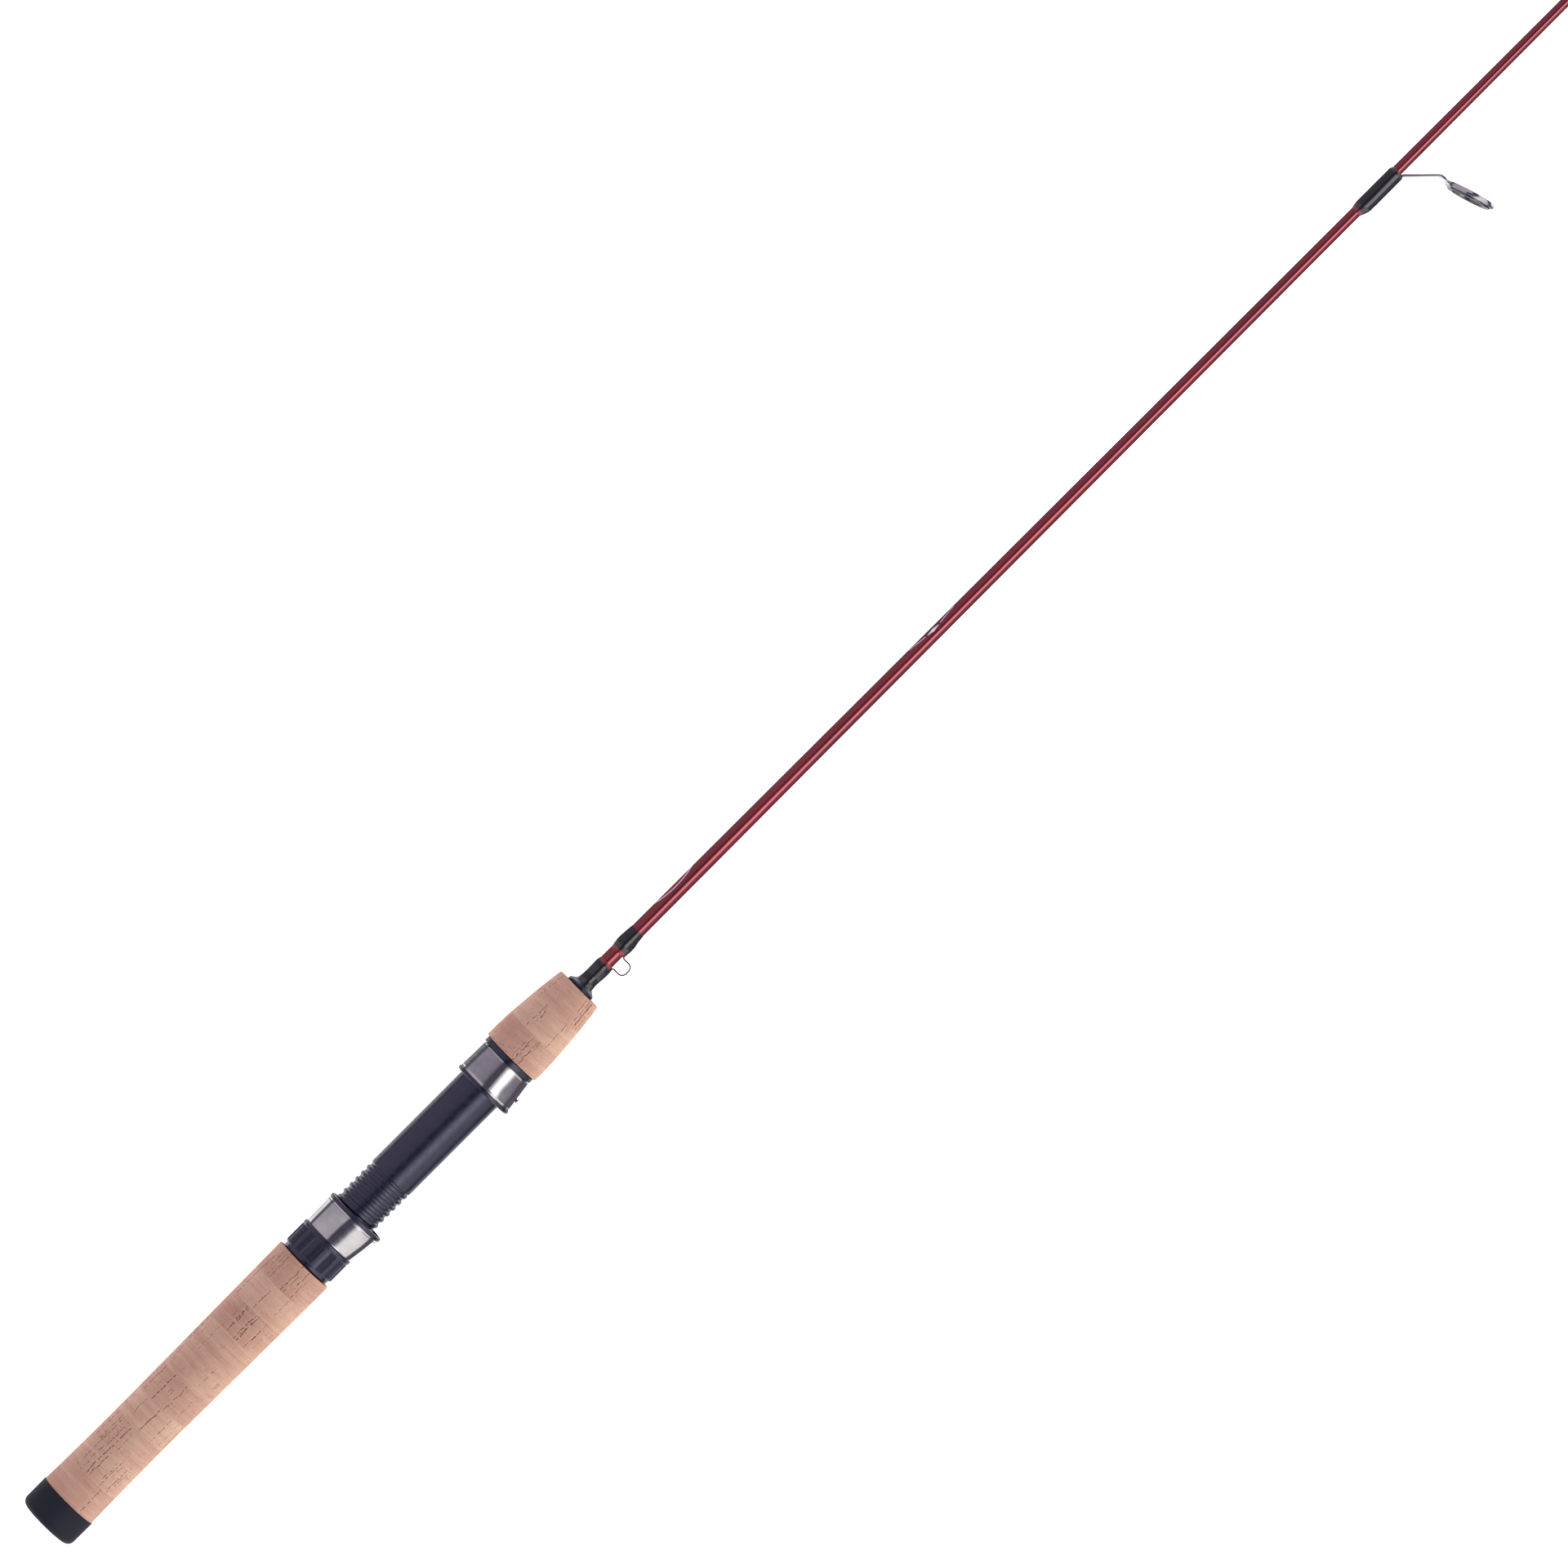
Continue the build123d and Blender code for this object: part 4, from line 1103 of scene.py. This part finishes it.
# ---- hook keeper
def round_section(radius, sides=16):
    """A wire's section."""
    angles = np.arange(sides) * turn / sides
    return np.stack([radius * np.cos(angles), radius * np.sin(angles)], -1)


def bent_path(points, radii, step=0.3 * mm):
    """A path through points with round bends, as an array of places about a step apart."""
    points = [np.array(p, dtype=float) for p in points]
    smooth = [points[0]]
    for k, radius in enumerate(radii, 1):
        neighbours = points[k - 1], points[k + 1]
        smooth += corner_arc(points[k], *neighbours, radius, 0.49, lambda size: max(4, int(size / step)))
    smooth.append(points[-1])
    dense = [smooth[0]]
    for a, b in zip(smooth, smooth[1:]):
        bits = max(1, int(np.linalg.norm(b - a) / step))
        dense += [a + (b - a) * n / bits for n in range(1, bits + 1)]
    return np.array(dense)


def hook_keeper():
    """Spring wire bent into a loop, with a foot under the wrap at each side."""
    low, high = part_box("hook_keeper")
    wire = 0.29 * mm
    foot = 6.0 * mm
    line_y = high[1] - wire
    rear_leg, front_leg = low[0] + foot, high[0] - foot
    bottom = low[1] + wire
    path = bent_path(
        [(low[0], line_y, 0), (rear_leg, line_y, 0), (rear_leg, bottom, 0), (front_leg, bottom, 0),
         (front_leg, line_y, 0), (high[0], line_y, 0)],
        [0.7 * mm, 2.1 * mm, 2.1 * mm, 0.7 * mm])
    sections = np.repeat(round_section(wire)[None], len(path), axis=0)
    return new_piece("hook_keeper_wire", swept(path, sections), "hook_keeper")


hook_keeper()


# ---- line guides
guide_tilt = math.radians(16.7)


def placed(shape, centre, tilt=0.0):
    """A ring made round the X axis, turned about Z and moved to its centre."""
    spin = np.array(Matrix.Rotation(tilt, 3, "Z"))
    return Shape(shape.points @ spin.T + np.array(centre), shape.quads, shape.triangles)


def channel_section(half_width, half_thick, hollow, sides=28):
    """A stamped strip's section: round edges, and hollow on the side that faces the reel."""
    angles = np.arange(sides) * turn / sides
    across = np.sign(np.sin(angles)) * np.abs(np.sin(angles)) ** 0.5 * half_width
    through = np.sign(np.cos(angles)) * np.abs(np.cos(angles)) ** 0.6 * half_thick
    dish = hollow * (1 - (across / half_width) ** 2) * (through < 0)
    return np.stack([through + dish, across], -1)


def guide_size(name):
    """Ring centre, its direction, three radii (outer, insert, inner) and half depth, from the CAD."""
    ring_points = node_points(f"{name}_ring")
    frame_points = node_points(f"{name}_frame")
    centre = (ring_points.max(0) + ring_points.min(0)) / 2
    outer = (frame_points[:, 2].max() - frame_points[:, 2].min()) / 2
    insert = (ring_points[:, 2].max() - ring_points[:, 2].min()) / 2
    distances = np.linalg.norm(ring_points - centre, axis=1)
    normal = np.array([-math.cos(guide_tilt), -math.sin(guide_tilt), 0])
    along = (ring_points - centre) @ normal
    inner = np.sqrt(np.maximum(distances ** 2 - along ** 2, 0)).min()
    return centre, normal, outer, insert, inner, along.max()


def guide_ring_frame(centre, normal, outer, insert, depth, back):
    """Stamped ring frame: rolled outer edge, a lip on the reel's side, open to the insert."""
    lip = 0.14 * depth
    facing = [
        (0.5 * depth, insert + 0.02 * mm, 0.05 * depth),
        (-0.36 * depth, insert + 0.02 * mm, 0.05 * depth),
        (-0.36 * depth, outer - 2.6 * lip, 0.05 * depth),
        (-0.5 * depth, outer - 2.0 * lip, 0.08 * depth),
        (-0.5 * depth, outer - lip, 0.12 * depth),
        (-0.12 * depth, outer - 0.02 * mm, 0.25 * depth),
        (0.5 * depth, outer - 0.25 * depth, 0.2 * depth),
    ]
    return placed(turned(rounded(facing, 0.25 * mm), 160), np.array(centre) - normal * back, guide_tilt)


def guide_leg(name, scale, depth, centre, normal, outer, back):
    """Foot and leg: one strip, tapered under the wrap, bent up to the back of the ring."""
    low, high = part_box(f"{name}_frame")
    unit = scale * mm
    strip = max(1.15 * scale, 0.7) * mm
    foot_start = low[0]
    foot_end = centre[0] + centre[1] * 0.477
    foot_y = -float(blank_radius(foot_start)) + 0.08 * mm - strip / 2
    lean = np.array([math.sin(guide_tilt), -math.cos(guide_tilt), 0])
    middle = np.array(centre) - normal * back
    knee = middle - lean * (outer + 2.6 * unit) - normal * 1.5 * unit
    root = middle - lean * (outer - 1.0 * unit) - normal * 0.5 * (depth - 0.9 * strip)
    toe_length = 4.5 * unit
    toe_y = foot_y + 0.35 * strip
    path = bent_path(
        [(foot_start, toe_y, 0), (foot_start + toe_length, foot_y, 0), (foot_end, foot_y, 0),
         tuple(knee), tuple(root)],
        [6.0 * unit, 2.2 * unit, 3.2 * unit])
    travelled = np.concatenate([[0], np.cumsum(np.linalg.norm(np.diff(path, axis=0), axis=1))])
    foot_length = foot_end - foot_start
    ramp = smooth_step(travelled, 0, toe_length)
    leg = smooth_step(travelled, foot_length - 1 * mm, travelled[-1] - 2 * unit)
    root_end = 1 - 0.75 * smooth_step(travelled, travelled[-1] - 2.2 * unit, travelled[-1])
    half_width = (0.45 + 0.45 * ramp + (0.6 + 0.95 * scale) * leg) * mm
    half_thick = strip / 2 * (0.3 + 0.7 * ramp) * root_end
    rows = zip(half_width, half_thick, leg)
    return swept(path, [channel_section(w, t, 0.3 * strip * share) for w, t, share in rows])


def line_guide(name):
    """A single-foot guide: strip foot and leg, ring frame, hard insert and the wrap over the foot."""
    centre, normal, outer, insert, inner, half_depth = guide_size(name)
    scale = outer / (10.4 * mm)
    depth = max(2.0 * scale, 1.2) * mm
    back = half_depth + 0.1 * mm - 0.5 * depth
    ring = guide_ring_frame(centre, normal, outer, insert, depth, back)
    leg = guide_leg(name, scale, depth, centre, normal, outer, back)
    new_piece(f"{name}_stamped", joined(ring, leg), f"{name}_frame")

    # Insert: a hard ring, rounded where the line runs, that stands out of the frame towards the reel.
    bead = insert - inner
    section = [
        (half_depth, inner + 0.12 * bead, 0.4 * bead),
        (0.1 * half_depth, inner, 0.6 * half_depth),
        (-half_depth, inner + 0.1 * bead, 0.45 * bead),
        (-half_depth, insert - 0.12 * bead, 0.35 * bead),
        (-0.2 * half_depth, insert, 0.3 * half_depth),
        (half_depth, insert, 0.2 * bead),
    ]
    insert_ring = turned(rounded(section, 0.2 * mm, arc_points=8), 160)
    new_piece(f"{name}_insert", placed(insert_ring, centre, guide_tilt), f"{name}_ring")
    guide_wrap(name, scale)


def guide_wrap(name, scale):
    """The wrap over a guide's foot: flat on the far side, humped over the foot, epoxy round the leg."""
    low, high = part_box(f"{name}_wrap")
    foot_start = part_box(f"{name}_frame")[0][0]
    start, end = low[0], high[0]
    cover = min(scale + 0.25, 1.0) * 0.58
    hump = (-low[1] - float(blank_radius(end))) / mm - cover - 0.05
    toe, ramp = (foot_start - start) / mm, 5.0 * scale
    covers = along(start, (0, 0.04), (1.6, 0.6 * cover), (3.2, cover))
    covers += along(end, (-1.2, cover), (-0.5, 0.7 * cover), (0, 0.05))
    bulges = along(start, (0, 0, 0.6), (toe, 0.5 * hump, 0.75), (toe + 0.45 * ramp, 0.92 * hump, 0.88))
    bulges += along(start, (toe + ramp, hump, 0.92))
    bulges += along(end, (-0.8, hump, 0.8), (0, hump, 0.45))
    wrap(f"{name}_wrap", covers, bulges, (start + 1.4 * mm, end - 0.25 * mm))


guide_names = sorted({node.rsplit("_", 1)[0] for node in frame["nodes"] if node.startswith("guide_")})
for guide_name in guide_names:
    line_guide(guide_name)


# ---- tip top
def tip_top():
    """Tube over the blank's end, two wire braces and the last line ring."""
    low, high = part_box("tip_top_frame")
    ring_low, ring_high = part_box("tip_top_ring")
    end = ring_high[0]
    depth = end - ring_low[0]
    insert = ring_high[2]
    outer = high[2]
    ring_y = (ring_high[1] + ring_low[1]) / 2
    tube_end, tube_radius = 1217 * mm, 1.35 * mm
    bore, pinhole = 0.92 * mm, 0.05 * mm
    ring_place = (end - 0.65 * depth, ring_y, 0)
    tube = [
        (low[0], bore, 0),
        (tube_end - 0.5 * mm, bore, 0),
        (tube_end - 0.4 * mm, pinhole, 0),
        (tube_end, pinhole, 0),
        (tube_end, tube_radius, 0.4 * mm),
        (low[0], tube_radius, 0.15 * mm),
    ]
    ring = band(-0.35 * depth, 0.35 * depth, insert + 0.02 * mm, outer, 0.1 * mm, 0.3 * mm)
    parts = [turned(rounded(tube, 0.4 * mm), 48)]
    parts.append(placed(turned(rounded(ring, 0.3 * mm), 96), ring_place))
    wire = 0.48 * mm
    for side in (-1, 1):
        path = bent_path(
            [(tube_end - 3 * mm, -0.2 * mm, side * (tube_radius - 0.1 * mm)),
             (tube_end - 0.4 * mm, -0.4 * mm, side * (tube_radius + 0.1 * mm)),
             (tube_end + 1.0 * mm, -2.8 * mm, side * 2.6 * mm),
             (ring_place[0], ring_y + 0.5 * mm, side * (outer - 0.5 * mm))],
            [1.0 * mm, 3.0 * mm])
        sections = np.repeat(round_section(wire, 14)[None], len(path), axis=0)
        parts.append(swept(path, sections))
    new_piece("tip_top_frame_wire", joined(*parts), "tip_top_frame")
    bead = band(0, depth, 3.1 * mm, insert, 0.4 * mm, 0.3 * mm)
    insert_ring = turned(rounded(bead, 0.25 * mm), 96)
    new_piece("tip_top_insert", placed(insert_ring, (ring_low[0], ring_y, 0)), "tip_top_ring")
    wrap_low, wrap_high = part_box("tip_top_wrap")
    start, end = wrap_low[0], wrap_high[0]
    covers = along(start, (0, 0.03), (1.2, 0.36)) + along(end, (-0.4, 0.45), (0, 0.42))
    flat = along(start, (0, 0, 0.5)) + along(end, (0, 0, 0.5))
    past_everything = end + 1
    wrap("tip_top_wrap", covers, flat, (start + 0.7 * mm, past_everything), sides=48)


tip_top()

# ---- CAD nodes that stay as they are
replaced = {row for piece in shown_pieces() if "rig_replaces" in piece for row in piece["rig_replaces"]}
for node_name, node_object in frame["nodes"].items():
    if node_name not in replaced:
        node_object.data.materials.clear()
        node_object.data.materials.append(looks[slot_of[node_name]])
